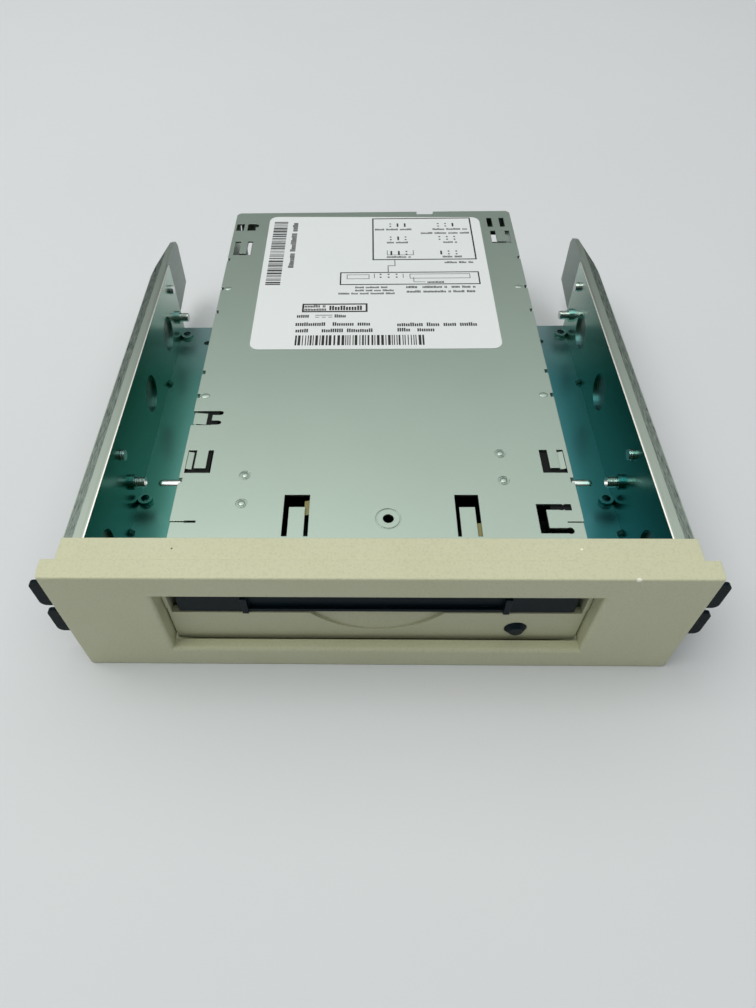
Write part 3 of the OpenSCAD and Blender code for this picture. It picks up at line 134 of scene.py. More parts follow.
def make_finish(name, colour, drift, grain, depth, rough, patch=9.0, metallic=0.0, ior=1.5,
                edge=0.2, edge_wear_highlight=None, edge_wear_highlight_share=0.5, stretch=(1, 1, 1), shine=0.5):
    """colour and drift are hex, grain, depth, patch and edge millimetres, rough is (low, high)."""
    material = bpy.data.materials.new(name)
    material.use_nodes = True
    tree = material.node_tree
    skin = tree.nodes["Principled BSDF"]
    skin.inputs["Metallic"].default_value = metallic
    if not metallic:
        skin.inputs["IOR"].default_value = ior
        skin.inputs["Specular IOR Level"].default_value = shine
    place = add_node(tree, "ShaderNodeTexCoord")
    run = add_node(tree, "ShaderNodeMapping", {"Scale": stretch},
                   {"Vector": place.outputs["Object"]})
    fine = add_node(tree, "ShaderNodeTexNoise",
                    {"Scale": 1 / (grain * MM), "Detail": FINE_DETAIL},
                    {"Vector": run.outputs["Vector"]})
    broad = add_node(tree, "ShaderNodeTexNoise",
                     {"Scale": 1 / (patch * MM), "Detail": BROAD_DETAIL},
                     {"Vector": run.outputs["Vector"]})
    body = add_node(tree, "ShaderNodeMix",
                    {"data_type": "RGBA", 6: linear(colour), 7: linear(drift)},
                    {0: broad.outputs["Fac"]})
    soft = add_node(tree, "ShaderNodeBevel", {"samples": EDGE_SAMPLES, "Radius": edge * MM})
    relief = add_node(tree, "ShaderNodeBump", {"Strength": BUMP_STRENGTH, "Distance": depth * MM},
                      {"Height": fine.outputs["Fac"], "Normal": soft.outputs["Normal"]})
    gloss = add_node(tree, "ShaderNodeMapRange", {"To Min": rough[0], "To Max": rough[1]},
                     {"Value": fine.outputs["Fac"]})
    last = body.outputs[2]
    # The edge is lightened in colour: partly wear, partly a painted highlight.
    if edge_wear_highlight:
        face = add_node(tree, "ShaderNodeNewGeometry")
        turned = add_node(tree, "ShaderNodeVectorMath", {"operation": "DOT_PRODUCT"},
                          {0: soft.outputs["Normal"], 1: face.outputs["Normal"]})
        worn_and_highlit = add_node(tree, "ShaderNodeMapRange",
                        {"From Min": EDGE_LIGHT_FROM, "From Max": EDGE_LIGHT_FULL, "To Max": edge_wear_highlight_share},
                        {"Value": turned.outputs["Value"]})
        worn_and_highlit_edge = add_node(tree, "ShaderNodeMix", {"data_type": "RGBA", 7: linear(edge_wear_highlight)},
                          {0: worn_and_highlit.outputs["Result"], 6: last})
        last = worn_and_highlit_edge.outputs[2]
    tree.links.new(last, skin.inputs["Base Color"])
    tree.links.new(gloss.outputs["Result"], skin.inputs["Roughness"])
    tree.links.new(relief.outputs["Normal"], skin.inputs["Normal"])
    return {"material": material, "tree": tree, "skin": skin, "run": run, "place": place,
            "fine": fine, "broad": broad, "colour": last, "gloss": gloss}


FINISH = {}

# %% [markdown]
# The bezel, the drive's own front and its two dark pieces are ABS, injection moulded in tools with
# a spark-eroded grain of about half a millimetre. That grain breaks up the reflections, so the
# plastic looks dry and soft. The bezel has gone a little yellow, as this plastic does with light
# and years. The dark pieces reflect less than plain ABS would, so their shine is turned down.
# Small fittings are nylon, black or in its natural white, which looks a little waxy. The latches
# are spring steel under a thin smooth coat of black, glossier than the mouldings.

# %% Moulded and painted pieces
# The lighter edge colours given below are partly wear and partly painted highlight.
FINISH["bezel_plastic"] = make_finish(
    "moulded_abs_cream", "#CDCFB1", "#C4C6A4", grain=0.55, depth=0.22, rough=(0.42, 0.62),
    patch=26, ior=1.54, edge=0.2, edge_wear_highlight="#DCDAC2", edge_wear_highlight_share=0.6)
FINISH["panel_plastic"] = make_finish(
    "moulded_abs_putty", "#CACBAD", "#BFC0A0", grain=0.5, depth=0.14, rough=(0.45, 0.62),
    patch=20, ior=1.54, edge=0.2, edge_wear_highlight="#CFCDB6")
FINISH["door_plastic"] = make_finish(
    "moulded_abs_slate", "#0B171D", "#11212A", grain=0.3, depth=0.02, rough=(0.38, 0.52),
    patch=12, ior=1.54, edge=0.2, edge_wear_highlight="#3A505C", shine=0.1)
FINISH["button_plastic"] = make_finish(
    "moulded_abs_slate_button", "#0C171D", "#13222A", grain=0.3, depth=0.01, rough=(0.28, 0.4),
    patch=3, ior=1.54, edge=0.35, edge_wear_highlight="#465C6A", shine=0.12)
FINISH["black_nylon"] = make_finish(
    "moulded_nylon_black", "#060708", "#0B0C0E", grain=0.5, depth=0.02, rough=(0.42, 0.55),
    ior=1.53, shine=0.15)
FINISH["white_nylon"] = make_finish(
    "moulded_nylon_natural", "#DDD9CC", "#D3CFC0", grain=0.5, depth=0.02, rough=(0.38, 0.5),
    ior=1.53)
FINISH["latch_plastic"] = make_finish(
    "painted_spring_steel_black", "#08141A", "#0D1C22", grain=0.35, depth=0.02, rough=(0.2, 0.34),
    patch=4, ior=1.5, edge=0.3, edge_wear_highlight="#41545C", edge_wear_highlight_share=0.45, shine=0.05)
print("moulded and painted finishes:", len(FINISH))

# %% [markdown]
# The grain of the bezel and of the drive's front is shaded in its hollows, and the fine noise
# paints that shade darker into the colour there. Knocks have marked the bezel's top: on the front
# edge and on one ledge fresh plastic shows paler under the aged skin, and the third mark is dark.
# A small ball-shaped mask paints each mark in its place, given in millimetres in the frame.

# %% Painted shade in the grain hollows, and knocks on the bezel
HOLLOW_SHADE_FROM, HOLLOW_SHADE_FULL, HOLLOW_SHADE_SHARE = 0.52, 0.34, 0.14
KNOCK_CORE = 0.6
KNOCKS = (((56.1, -83.5, 41.4), 0.7, "#FAF8EA"), ((45.5, -75.2, 41.0), 0.35, "#F4F3E2"),
          ((-45.9, -75.2, 41.0), 0.28, "#4A4C3C"))


def blend_colour(finish, share, hex_colour):
    mix = add_node(finish["tree"], "ShaderNodeMix", {"data_type": "RGBA", 7: linear(hex_colour)},
                   {0: share, 6: finish["colour"]})
    finish["colour"] = mix.outputs[2]
    finish["tree"].links.new(finish["colour"], finish["skin"].inputs["Base Color"])


# Painted shade: the fine noise darkens the colour in the hollows of the grain.
for slot, hollow_shade in (("bezel_plastic", "#8F9170"), ("panel_plastic", "#84866A")):
    hollow_shade_share = add_node(FINISH[slot]["tree"], "ShaderNodeMapRange",
                       {"From Min": HOLLOW_SHADE_FROM, "From Max": HOLLOW_SHADE_FULL, "To Max": HOLLOW_SHADE_SHARE},
                       {"Value": FINISH[slot]["fine"].outputs["Fac"]})
    blend_colour(FINISH[slot], hollow_shade_share.outputs["Result"], hollow_shade)

bezel = FINISH["bezel_plastic"]
for place, radius, mark in KNOCKS:
    away = add_node(bezel["tree"], "ShaderNodeVectorMath",
                    {"operation": "DISTANCE", 1: Vector(place) * MM},
                    {0: bezel["place"].outputs["Object"]})
    share = add_node(bezel["tree"], "ShaderNodeMapRange",
                     {"From Min": radius * MM, "From Max": KNOCK_CORE * radius * MM},
                     {"Value": away.outputs["Value"]})
    blend_colour(bezel, share.outputs["Result"], mark)
print("knocks:", len(KNOCKS))

# %% [markdown]
# The tray, the rails, the cover and the screws are plated steel. Zinc plating is passivated in a
# bath that leaves a thin blue-green film. On the tray, which is bright, the walls reflect one
# another, and the deeper teal that this builds up is painted into its colour. The cover is rolled
# dull, so it shows the same metal as a pale grey-green, and the rails are rubbed grey along their
# length. The nickel of the screws is the brightest. All keep a metal's default IOR.

# %% Plated sheet and screws
# The lighter edge colours given below are partly wear and partly painted highlight.
FINISH["tray_zinc"] = make_finish(
    "bright_zinc_blue_passivated", "#5C9F94", "#509286", grain=0.8, depth=0.012, rough=(0.2, 0.3),
    patch=22, metallic=1.0, edge=0.12, edge_wear_highlight="#D5E4E0", edge_wear_highlight_share=0.8)
FINISH["cover_zinc"] = make_finish(
    "satin_zinc_sheet", "#B1C2B7", "#A9BAAF", grain=0.5, depth=0.01, rough=(0.36, 0.46),
    patch=35, metallic=1.0, edge=0.15, edge_wear_highlight="#D5DED6")
FINISH["rail_zinc"] = make_finish(
    "rubbed_zinc_rail", "#828E87", "#78847D", grain=0.35, depth=0.01, rough=(0.28, 0.44),
    patch=14, metallic=1.0, edge=0.15, edge_wear_highlight="#D9DFD9", stretch=(1, 0.08, 1))
FINISH["screw_nickel"] = make_finish(
    "bright_nickel_screw", "#D3D8D6", "#C4CAC8", grain=0.4, depth=0.005, rough=(0.1, 0.2),
    patch=2, metallic=1.0, edge=0.15, edge_wear_highlight="#EEF2F1")
print("finishes so far:", len(FINISH))

# %% [markdown]
# Inside the drive the chassis is a die casting, matt and grey as it leaves the mould. The rods
# are ground and the springs drawn, so both gleam in thin lines, and the motor's can is plated.
# Contacts are brass with a flash of gold or a coat of tin, and the coils are copper wire under
# clear enamel. A stretched grain lies along the wires and rods.

# %% Metals inside the drive
FINISH["chassis_alloy"] = make_finish(
    "die_cast_alloy", "#8F9796", "#838B8B", grain=0.7, depth=0.03, rough=(0.42, 0.58),
    metallic=1.0)
FINISH["rod_steel"] = make_finish(
    "ground_steel_rod", "#B9BDBD", "#AEB3B3", grain=0.2, depth=0.004, rough=(0.14, 0.22),
    metallic=1.0, stretch=(0.1, 1, 1))
FINISH["spring_steel"] = make_finish(
    "drawn_spring_wire", "#9EA4A4", "#8C9394", grain=0.15, depth=0.004, rough=(0.24, 0.34),
    metallic=1.0, edge=0.05)
FINISH["motor_steel"] = make_finish(
    "plated_motor_can", "#8C9294", "#82888A", grain=0.4, depth=0.006, rough=(0.24, 0.34),
    metallic=1.0)
FINISH["gold_contact"] = make_finish(
    "gold_flashed_brass", "#D9B45A", "#C9A24A", grain=0.2, depth=0.003, rough=(0.16, 0.24),
    metallic=1.0, edge=0.05)
FINISH["tin_contact"] = make_finish(
    "tinned_brass_pin", "#C6CAC9", "#B5B9B8", grain=0.3, depth=0.004, rough=(0.22, 0.32),
    metallic=1.0)
FINISH["copper_coil"] = make_finish(
    "enamelled_copper_wire", "#B5683C", "#9C5530", grain=0.25, depth=0.02, rough=(0.2, 0.3),
    metallic=1.0, stretch=(1, 1, 6))
print("finishes so far:", len(FINISH))

# %% [markdown]
# Film and rubbing depend on where a face is and which way it looks, so a few small functions make
# masks: one from the face's own direction, one from its place along an axis, one that fades
# between two places in millimetres, and one that keeps what two masks share.

# %% Helpers for masks
def upward_share(finish, low=0.5, high=0.9):
    face = add_node(finish["tree"], "ShaderNodeNewGeometry")
    parts = add_node(finish["tree"], "ShaderNodeSeparateXYZ", {},
                     {0: face.outputs["True Normal"]})
    return add_node(finish["tree"], "ShaderNodeMapRange", {"From Min": low, "From Max": high},
                    {"Value": parts.outputs["Z"]}).outputs["Result"]


def place_part(finish, axis, far=0.0):
    """The object coordinate along one axis in metres, shaken by up to far of the broad noise."""
    parts = add_node(finish["tree"], "ShaderNodeSeparateXYZ", {},
                     {0: finish["place"].outputs["Object"]})
    return add_node(finish["tree"], "ShaderNodeMath", {"operation": "MULTIPLY_ADD", 1: far},
                    {0: finish["broad"].outputs["Fac"], 2: parts.outputs[axis]}).outputs[0]


def size_of(finish, value):
    return add_node(finish["tree"], "ShaderNodeMath", {"operation": "ABSOLUTE"},
                    {0: value}).outputs[0]


def range_share(finish, value, start, full):
    return add_node(finish["tree"], "ShaderNodeMapRange",
                    {"From Min": start * MM, "From Max": full * MM},
                    {"Value": value}).outputs["Result"]


def both_shares(finish, first, second):
    return add_node(finish["tree"], "ShaderNodeMath", {"operation": "MULTIPLY"},
                    {0: first, 1: second}).outputs[0]


# %% [markdown]
# The tray's colour is painted deepest at the front, where the walls face one another across a
# narrow gap and shade and reflect one another, and paler towards silver at the rear and towards
# the top of the walls, where more light reaches: painted shade and reflection over the film's own
# teal. One ramp of colours runs along the tray and leans with the height, and the broad noise
# shakes it so that it shows no line.

# %% The film on the tray, with painted shade and reflection
tray = FINISH["tray_zinc"]
FILM_SHADING_SHAKE, FILM_SHADING_LEAN = 0.012, 0.9
FILM_SHADING_FROM, FILM_SHADING_TO = -70, 90
FILM_SHADING_SHARE = 0.95
FILM_SHADING_ENDS = ("#006C80", "#B4C6BC")
FILM_SHADING_COLOURS = ((0.25, "#007A74"), (0.5, "#007E69"), (0.66, "#288A74"), (0.78, "#7FAF9E"),
                (0.88, "#A9BDB1"))

# Painted shade and reflection: the ramp deepens the teal at the front and pales it at the rear and
# up the walls.
along = place_part(tray, "Y", FILM_SHADING_SHAKE)
leaning = add_node(tray["tree"], "ShaderNodeMath", {"operation": "MULTIPLY_ADD", 1: FILM_SHADING_LEAN},
                   {0: place_part(tray, "Z"), 2: along}).outputs[0]
film_shading_ramp = add_node(tray["tree"], "ShaderNodeValToRGB", {},
                {"Fac": range_share(tray, leaning, FILM_SHADING_FROM, FILM_SHADING_TO)})
for end, film_shading_colour in enumerate(FILM_SHADING_ENDS):
    film_shading_ramp.color_ramp.elements[end].color = linear(film_shading_colour)
for share, film_shading_colour in FILM_SHADING_COLOURS:
    film_shading_ramp.color_ramp.elements.new(share).color = linear(film_shading_colour)
film_shaded = add_node(tray["tree"], "ShaderNodeMix", {0: FILM_SHADING_SHARE, "data_type": "RGBA"},
                  {6: tray["colour"], 7: film_shading_ramp.outputs["Color"]})
tray["colour"] = film_shaded.outputs[2]
print("film colours along the tray:", len(film_shading_ramp.color_ramp.elements))

# %% [markdown]
# The tray's floor is a little rougher than its walls, because the drive slides over it, and its
# upward faces are painted greyer than the walls for the light from above. It is bluer on the right
# half and paler at the rear. The flanges on top of the walls are painted pale for the light above,
# with a painted highlight along the inner edge. The raised bead across the floor has its highlight
# painted on as one white line. Places along Y are counted from the bezel's front face, as on a
# maker's drawing, and FRONT moves them to the frame's middle.

# %% Floor, flanges and bead of the tray, with painted light
FRONT = cad_box[0].y / MM
MIDDLE_FADE = (0, 1)
REAR_FADE = (30, 60)
FLANGE_Z = (25, 26)
FLANGE_INNER = (72.45, 72.3)
BEAD_Y, BEAD_HALF, BEAD_FADE = 59.5, 1.5, 0.1
BEAD_LOW, BEAD_HIGH = (2.64, 2.72), (3.6, 3.5)
FLOOR_ROUGH = 0.3

tray_flat = upward_share(tray)
# Painted light: the upward faces get a greyer colour than the walls.
blend_colour(tray, tray_flat, "#5F9A92")
right_half = range_share(tray, place_part(tray, "X"), *MIDDLE_FADE)
blend_colour(tray, both_shares(tray, tray_flat, right_half), "#4C8C94")
blend_colour(tray, both_shares(tray, tray_flat, range_share(tray, along, *REAR_FADE)), "#93B4B6")
# Painted light: the flange tops are paler, with a painted highlight along the inner edge.
lit_flange = both_shares(tray, tray_flat, range_share(tray, place_part(tray, "Z"), *FLANGE_Z))
blend_colour(tray, lit_flange, "#A6B2A8")
tray_out = size_of(tray, place_part(tray, "X"))
blend_colour(tray, both_shares(tray, lit_flange, range_share(tray, tray_out, *FLANGE_INNER)), "#FFFFF6")

# Painted highlight: a white line along the top of the bead.
bead_from = add_node(tray["tree"], "ShaderNodeMath",
                     {"operation": "ADD", 1: (-BEAD_Y - FRONT) * MM},
                     {0: place_part(tray, "Y")}).outputs[0]
near_bead = range_share(tray, size_of(tray, bead_from), BEAD_HALF + BEAD_FADE, BEAD_HALF)
on_bead = both_shares(tray, near_bead, range_share(tray, place_part(tray, "Z"), *BEAD_LOW))
bead_highlight = both_shares(tray, on_bead, range_share(tray, place_part(tray, "Z"), *BEAD_HIGH))
blend_colour(tray, bead_highlight, "#FFFFFF")
tray_gloss = add_node(tray["tree"], "ShaderNodeMix", {3: FLOOR_ROUGH},
                      {0: tray_flat, 2: tray["gloss"].outputs["Result"]})
tray["tree"].links.new(tray_gloss.outputs[0], tray["skin"].inputs["Roughness"])
print("bead from the frame's middle in mm:", round(BEAD_Y + FRONT, 1))

# %% [markdown]
# A rail is dull on its web, and its upward faces are painted paler for the light from above. The
# outer half of its upper flange touches the bay's steel, so it is streaked along the rail and has a
# few dark nicks. A noise that is stretched along the rail gives the streaks.

# %% Rubbed rails, with painted light on top
rail = FINISH["rail_zinc"]
STREAK_W, STREAK_DETAIL, STREAK_ROUGH = 0.3, 5.0, 0.75
STREAK_NOISE, STREAK_LEAST = (0.38, 0.62), 0.35
STREAK_FROM, STREAK_FULL = 74.8, 75.0
STREAK_END = (77.1, 76.9)
NICK_NOISE, NICK_BAND = (0.66, 0.7), (75.0, 76.2)

# Painted light: the rail's upward faces are paler.
blend_colour(rail, upward_share(rail), "#A4B0A6")
rail_parts = add_node(rail["tree"], "ShaderNodeSeparateXYZ", {},
                      {0: rail["place"].outputs["Object"]})
rail_out = size_of(rail, rail_parts.outputs["X"])
streaks = add_node(rail["tree"], "ShaderNodeTexNoise",
                   {"Scale": 1 / (STREAK_W * MM), "Detail": STREAK_DETAIL,
                    "Roughness": STREAK_ROUGH},
                   {"Vector": rail["run"].outputs["Vector"]})
streak_share = add_node(rail["tree"], "ShaderNodeMapRange",
                        {"From Min": STREAK_NOISE[0], "From Max": STREAK_NOISE[1],
                         "To Min": STREAK_LEAST, "To Max": 1.0},
                        {"Value": streaks.outputs["Fac"]}).outputs["Result"]
outer_band = both_shares(rail, range_share(rail, rail_out, STREAK_FROM, STREAK_FULL),
                         range_share(rail, rail_out, *STREAK_END))
blend_colour(rail, both_shares(rail, outer_band, streak_share), "#56625E")
nicks = add_node(rail["tree"], "ShaderNodeMapRange",
                 {"From Min": NICK_NOISE[0], "From Max": NICK_NOISE[1]},
                 {"Value": rail["fine"].outputs["Fac"]}).outputs["Result"]
blend_colour(rail, both_shares(rail, nicks, range_share(rail, rail_out, *NICK_BAND)), "#1B2220")
print("streaked band from", STREAK_FROM, "mm")

# %% [markdown]
# What is left is the board with its black epoxy chips, the amber light and the white film of the
# label. The film is smooth and a little glossy, with no grain that the eye can find. The board is
# glass laminate under a green mask, with fine mottling, and the light's resin is nearly clear.

# %% Film, board and epoxy
LED_CLEAR = 0.8
FINISH["label_film"] = make_finish(
    "white_printed_film", "#E4E9EA", "#DEE4E5", grain=1.5, depth=0.004, rough=(0.3, 0.38),
    patch=30, ior=1.48, edge=0.05)
FINISH["board_laminate"] = make_finish(
    "green_solder_mask", "#1E5C38", "#2A6E46", grain=0.6, depth=0.015, rough=(0.22, 0.32),
    patch=1.6, ior=1.52)
FINISH["chip_epoxy"] = make_finish(
    "moulded_chip_epoxy", "#16181A", "#1F2225", grain=0.2, depth=0.01, rough=(0.46, 0.58),
    ior=1.55)
FINISH["led_resin"] = make_finish(
    "amber_led_resin", "#E2A23A", "#D9942C", grain=0.5, depth=0.002, rough=(0.06, 0.12),
    ior=1.53, edge=0.1)
FINISH["led_resin"]["skin"].inputs["Transmission Weight"].default_value = LED_CLEAR
print("finishes:", len(FINISH))

# %% [markdown]
# Each CAD node names the slot that its finish goes in, and the finishes above have the same
# names. So one loop dresses the whole drive, and no piece can be forgotten.

# %% Put the finishes on the CAD nodes
for subpart in frame["record"]["subparts"]:
    node = frame["nodes"][subpart["node"]]
    for index in range(len(node.data.materials)):
        node.data.materials[index] = FINISH[subpart["material_slot"]]["material"]

# %% [markdown]
# Small pieces are collected in one mesh for each kind, because one printed label or one set of
# threads is one thing to the eye. A piece is given in millimetres, rides on a body of the frame
# and names the slot that it takes its finish from. Most are prisms, so one function closes the
# shape between two rings of corners.

# %% Helpers for added pieces
def to_frame(x, y, z):
    return Vector((x, y + FRONT, z)) * MM


def add_piece(name, shape, body, finish):
    mesh = bpy.data.meshes.new(name)
    bmesh.ops.recalc_face_normals(shape, faces=shape.faces)
    shape.to_mesh(mesh)
    shape.free()
    piece = bpy.data.objects.new(name, mesh)
    bpy.context.scene.collection.objects.link(piece)
    mesh.materials.append(finish["material"])
    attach(piece, body)
    print(name, "faces:", len(mesh.polygons))
    return piece


def join_rings(shape, near, far):
    for i in range(len(near)):
        j = (i + 1) % len(near)
        shape.faces.new((near[i], near[j], far[j], far[i]))


def close_shape(shape, near, far):
    shape.faces.new(near[::-1])
    shape.faces.new(far)
    join_rings(shape, near, far)


def add_prism(shape, outline, low, high):
    """A flat outline of (x, y) points in millimetres, raised from low to high."""
    close_shape(shape, *([shape.verts.new(to_frame(x, y, z)) for x, y in outline]
                         for z in (low, high)))


# %% [markdown]
# The label is a white film, printed in black by a thermal head. Its print stands a few hundredths
# of a millimetre proud, so here it is a thin raised mesh that stays sharp at any zoom. Only what
# any such label has is drawn: bars, frames, rows of short strokes for lines of print, and plain
# drawings of the rear connectors with dots for pins. The widths of bars and the lengths of words
# are drawn at random from a fixed seed, so the label is the same each time and says nothing.

# %% Helpers for the label's print
INK_T = 0.03
INK_SEED = 7
CODE_BARS, CODE_GAPS = (0.3, 0.3, 0.55, 0.8), (0.35, 0.5, 0.65)
LETTER_HEIGHTS = (0.75, 0.85, 1.0)
LETTER_STEP, STROKE_STEP, STROKE_W, WORD_GAP = 0.78, 0.38, 0.27, 0.6
LETTER_LEAST = 0.3
WORD_LENGTHS = (3, 8)
label_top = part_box("product_label")[1].z / MM
ink = bmesh.new()
ink_draws = random.Random(INK_SEED)


def ink_bar(x0, x1, y0, y1):
    add_prism(ink, [(x0, y0), (x1, y0), (x1, y1), (x0, y1)], label_top, label_top + INK_T)


def ink_frame(x0, x1, y0, y1, line=0.3):
    ink_bar(x0, x1, y0, y0 + line)
    ink_bar(x0, x1, y1 - line, y1)
    ink_bar(x0, x0 + line, y0 + line, y1 - line)
    ink_bar(x1 - line, x1, y0 + line, y1 - line)


def ink_code(start, end, low, high, along_y=False):
    """A pattern of bars of random widths from start to end, which stands for no value."""
    at = start
    while at < end - CODE_BARS[0]:
        wide = ink_draws.choice(CODE_BARS)
        if along_y:
            ink_bar(low, high, at, at + wide)
        else:
            ink_bar(at, at + wide, low, high)
        at += wide + ink_draws.choice(CODE_GAPS)


def ink_line(start, end, foot, height, along_y=False):
    """A line of small print, as strokes with the size and spacing of letters but no letters."""
    at, left_in_word = start, ink_draws.randint(*WORD_LENGTHS)
    while at < end - LETTER_LEAST * height:
        tall = height * ink_draws.choice(LETTER_HEIGHTS)
        for step in (0.0, STROKE_STEP * height):
            low, high = at + step, at + step + STROKE_W * height
            if along_y:
                ink_bar(foot - tall, foot, low, high)
            else:
                ink_bar(low, high, foot, foot + tall)
        at += LETTER_STEP * height
        left_in_word -= 1
        if not left_in_word:
            at += WORD_GAP * height
            left_in_word = ink_draws.randint(*WORD_LENGTHS)


def ink_dots(x, y, marks, size=0.6, gap=1.7):
    """Pairs of pins seen from the rear: a dot pair is open, a bar is a pair with a cap on it."""
    for place, capped in marks:
        if capped:
            ink_bar(x + place - size / 2, x + place + size / 2, y, y + gap + size)
        else:
            for rise in (0, gap):
                ink_bar(x + place - size / 2, x + place + size / 2, y + rise, y + rise + size)


# %% [markdown]
# The codes and the boxed lines come first: one code stands up along the left edge with a line of
# print beside it, and one lies along the front edge. The places are read off the photograph and
# written in millimetres across the label and back from the bezel's front face.

# %% Codes and boxed lines of the label
ink_code(120.8, 161, -36.2, -31.2, along_y=True)
ink_line(130.8, 160.2, -27.4, 1.9, along_y=True)
ink_code(-24.3, 15.7, 89.3, 94.1)
ink_frame(-23, -1.9, 105.8, 110.3, 0.6)
ink_line(-22.2, -15, 106.6, 1.3)
ink_line(-22.2, -15, 108.3, 1.3)
ink_line(-14.2, -2.6, 106.8, 2.3)
print("corners in the print so far:", len(ink.verts))

# %% [markdown]
# The large frame at the rear shows six ways to set the caps on three pairs of pins. Under it lies
# a plain drawing of the drive's rear, with its long connector, its pins and its round one, and a
# bent line ties the two together.

# %% Pin settings and the drawing of the rear
PIN_STEP = 2.65
PIN_SETS = ((6.4, 156.3, (0, 1, 1)), (23.8, 156.3, (0, 0, 1)), (6.4, 147.5, (0, 1, 0)),
            (23.8, 147.5, (0, 0, 0)), (6.4, 138.2, (1, 1, 0)), (23.8, 138.2, (1, 0, 0)))
SETTING_LINES = ((0.8, 14.3, 154), (21.7, 34.2, 154), (17.3, 34.2, 151.4), (5, 12.2, 145.4),
                 (25, 30.2, 145.4), (4.8, 13, 136.3), (24.2, 30.8, 136.3), (24.6, 34.2, 132.8))

ink_frame(-0.2, 35.8, 135, 162.2, 0.5)
for x, y, marks in PIN_SETS:
    ink_dots(x, y, [(i * PIN_STEP, capped) for i, capped in enumerate(marks)])
ink_bar(4.9, 5.1, 138.2, 141)
ink_bar(14, 14.2, 138.2, 141)
ink_bar(4.9, 14.2, 138, 138.2)
for x0, x1, y in SETTING_LINES:
    ink_line(x0, x1, y, 1.1)
ink_bar(7.4, 7.65, 131.6, 135)
ink_bar(5, 7.65, 131.4, 131.65)
ink_bar(5, 5.25, 127.8, 131.65)
ink_frame(-11.2, 35.7, 120.5, 127.8, 0.45)
ink_frame(-8.9, -1.3, 123.9, 126.4, 0.2)
ink_frame(12.3, 32.6, 124, 126.6, 0.2)
for x in (0.3, 10):
    ink_bar(x, x + 0.2, 124.4, 126.8)
ink_dots(2.5, 124.5, [(i * 2.7, 0) for i in range(3)])
ink_bar(13.5, 13.7, 122, 124.6)
ink_bar(13.5, 17.4, 121.9, 122.1)
ink_line(18.1, 23.2, 121.3, 1.2)
print("corners in the print so far:", len(ink.verts))

# %% [markdown]
# The lines of print that are left are grouped by their height, from the small notes under the
# drawing to the larger lines at the front. A thermal head prints a dull black, so the finish of
# the ink is rougher than the film.

# %% Lines of print on the label
NOTE_LINES = ((-6, 4.6, 118.6), (-6, 6.6, 116.9), (-11.5, 7, 115.2))
PART_LINES = ((10.9, 14.2, 118.5), (16.3, 24.2, 118.5), (25.9, 34.2, 118.5), (11, 15.4, 116),
              (16.5, 25.4, 116), (26.3, 33.4, 116))
FRONT_LINES = ((-24.6, -15.6, 98.8), (-12.9, 0, 98.8), (-24.4, -20.2, 95.6), (-16.2, 0, 95.6),
               (7.4, 20.6, 98.4), (21.9, 32.5, 98.4), (7.4, 12.7, 95.8), (13.6, 19.6, 95.8))

for x0, x1, y in NOTE_LINES:
    ink_line(x0, x1, y, 0.95)
for x0, x1, y in PART_LINES:
    ink_line(x0, x1, y, 1.2)
ink_line(-24.4, -20.4, 103, 1.7)
ink_bar(-18.6, -13.1, 104.1, 104.35)
for x in (-18.6, -16.5, -14.4):
    ink_bar(x, x + 1.3, 103.1, 103.35)
ink_line(-12.4, -7.4, 103, 1.6)
for x0, x1, y in FRONT_LINES:
    ink_line(x0, x1, y, 1.75)
FINISH["label_ink"] = make_finish(
    "thermal_print_black", "#0B0C0D", "#141617", grain=0.3, depth=0.004, rough=(0.38, 0.5),
    patch=3, ior=1.5, edge=0.02)
add_piece("label_print", ink, "housing", FINISH["label_ink"])

# %% [markdown]
# The rail screws come through the tray's wall, the upper ones with a stub and the lower ones with
# several turns of thread beyond their collars. A 3 mm machine thread is a ridge that climbs
# 0.5 mm a turn. A smooth rod would reflect one clean line, so the ridge is modelled as a real
# helix, which fades in and out over half a turn at its ends.

# %% Threads on the rail screws
THREAD_PITCH, THREAD_CREST, THREAD_ROOT = 0.5, 0.12, 0.08
THREAD_STEPS = 20
ROOT_HALF, CREST_HALF = 0.36, 0.06
SHANK_R = 1.5
WALL_IN, COLLAR_L = 72.0, 1.2
SHORT_TIP, LONG_TIP = 1.3, 4.2
BAY_ROWS = (52.4, 131.65)
LOW_ROW, HIGH_ROW = 11.5, 23.44


def add_thread(shape, x_start, x_end, y, z):
    """A ridge round a shank that lies along X, from x_start to x_end in millimetres."""
    run = abs(x_end - x_start) - THREAD_PITCH
    steps = int(run / THREAD_PITCH * THREAD_STEPS)
    way = 1 if x_end > x_start else -1
    last = None
    for i in range(steps + 1):
        angle = 2 * math.pi * i / THREAD_STEPS
        crest = THREAD_CREST * min(1, i / THREAD_STEPS * 2, (steps - i) / THREAD_STEPS * 2)
        middle = x_start + way * (THREAD_PITCH / 2 + run * i / steps)
        section = ((-ROOT_HALF, SHANK_R - THREAD_ROOT), (-CREST_HALF, SHANK_R + crest),
                   (CREST_HALF, SHANK_R + crest), (ROOT_HALF, SHANK_R - THREAD_ROOT))
        ring = [shape.verts.new(to_frame(middle + offset * THREAD_PITCH,
                                         y + radius * math.cos(angle),
                                         z + radius * math.sin(angle)))
                for offset, radius in section]
        if last:
            join_rings(shape, last, ring)
        else:
            shape.faces.new(ring[::-1])
        last = ring
    shape.faces.new(last)


threads = bmesh.new()
for side in (-1, 1):
    for row in BAY_ROWS:
        add_thread(threads, side * WALL_IN, side * (WALL_IN - SHORT_TIP), row, HIGH_ROW)
        add_thread(threads, side * (WALL_IN - COLLAR_L), side * (WALL_IN - LONG_TIP), row, LOW_ROW)
add_piece("rail_screw_threads", threads, "housing", FINISH["screw_nickel"])

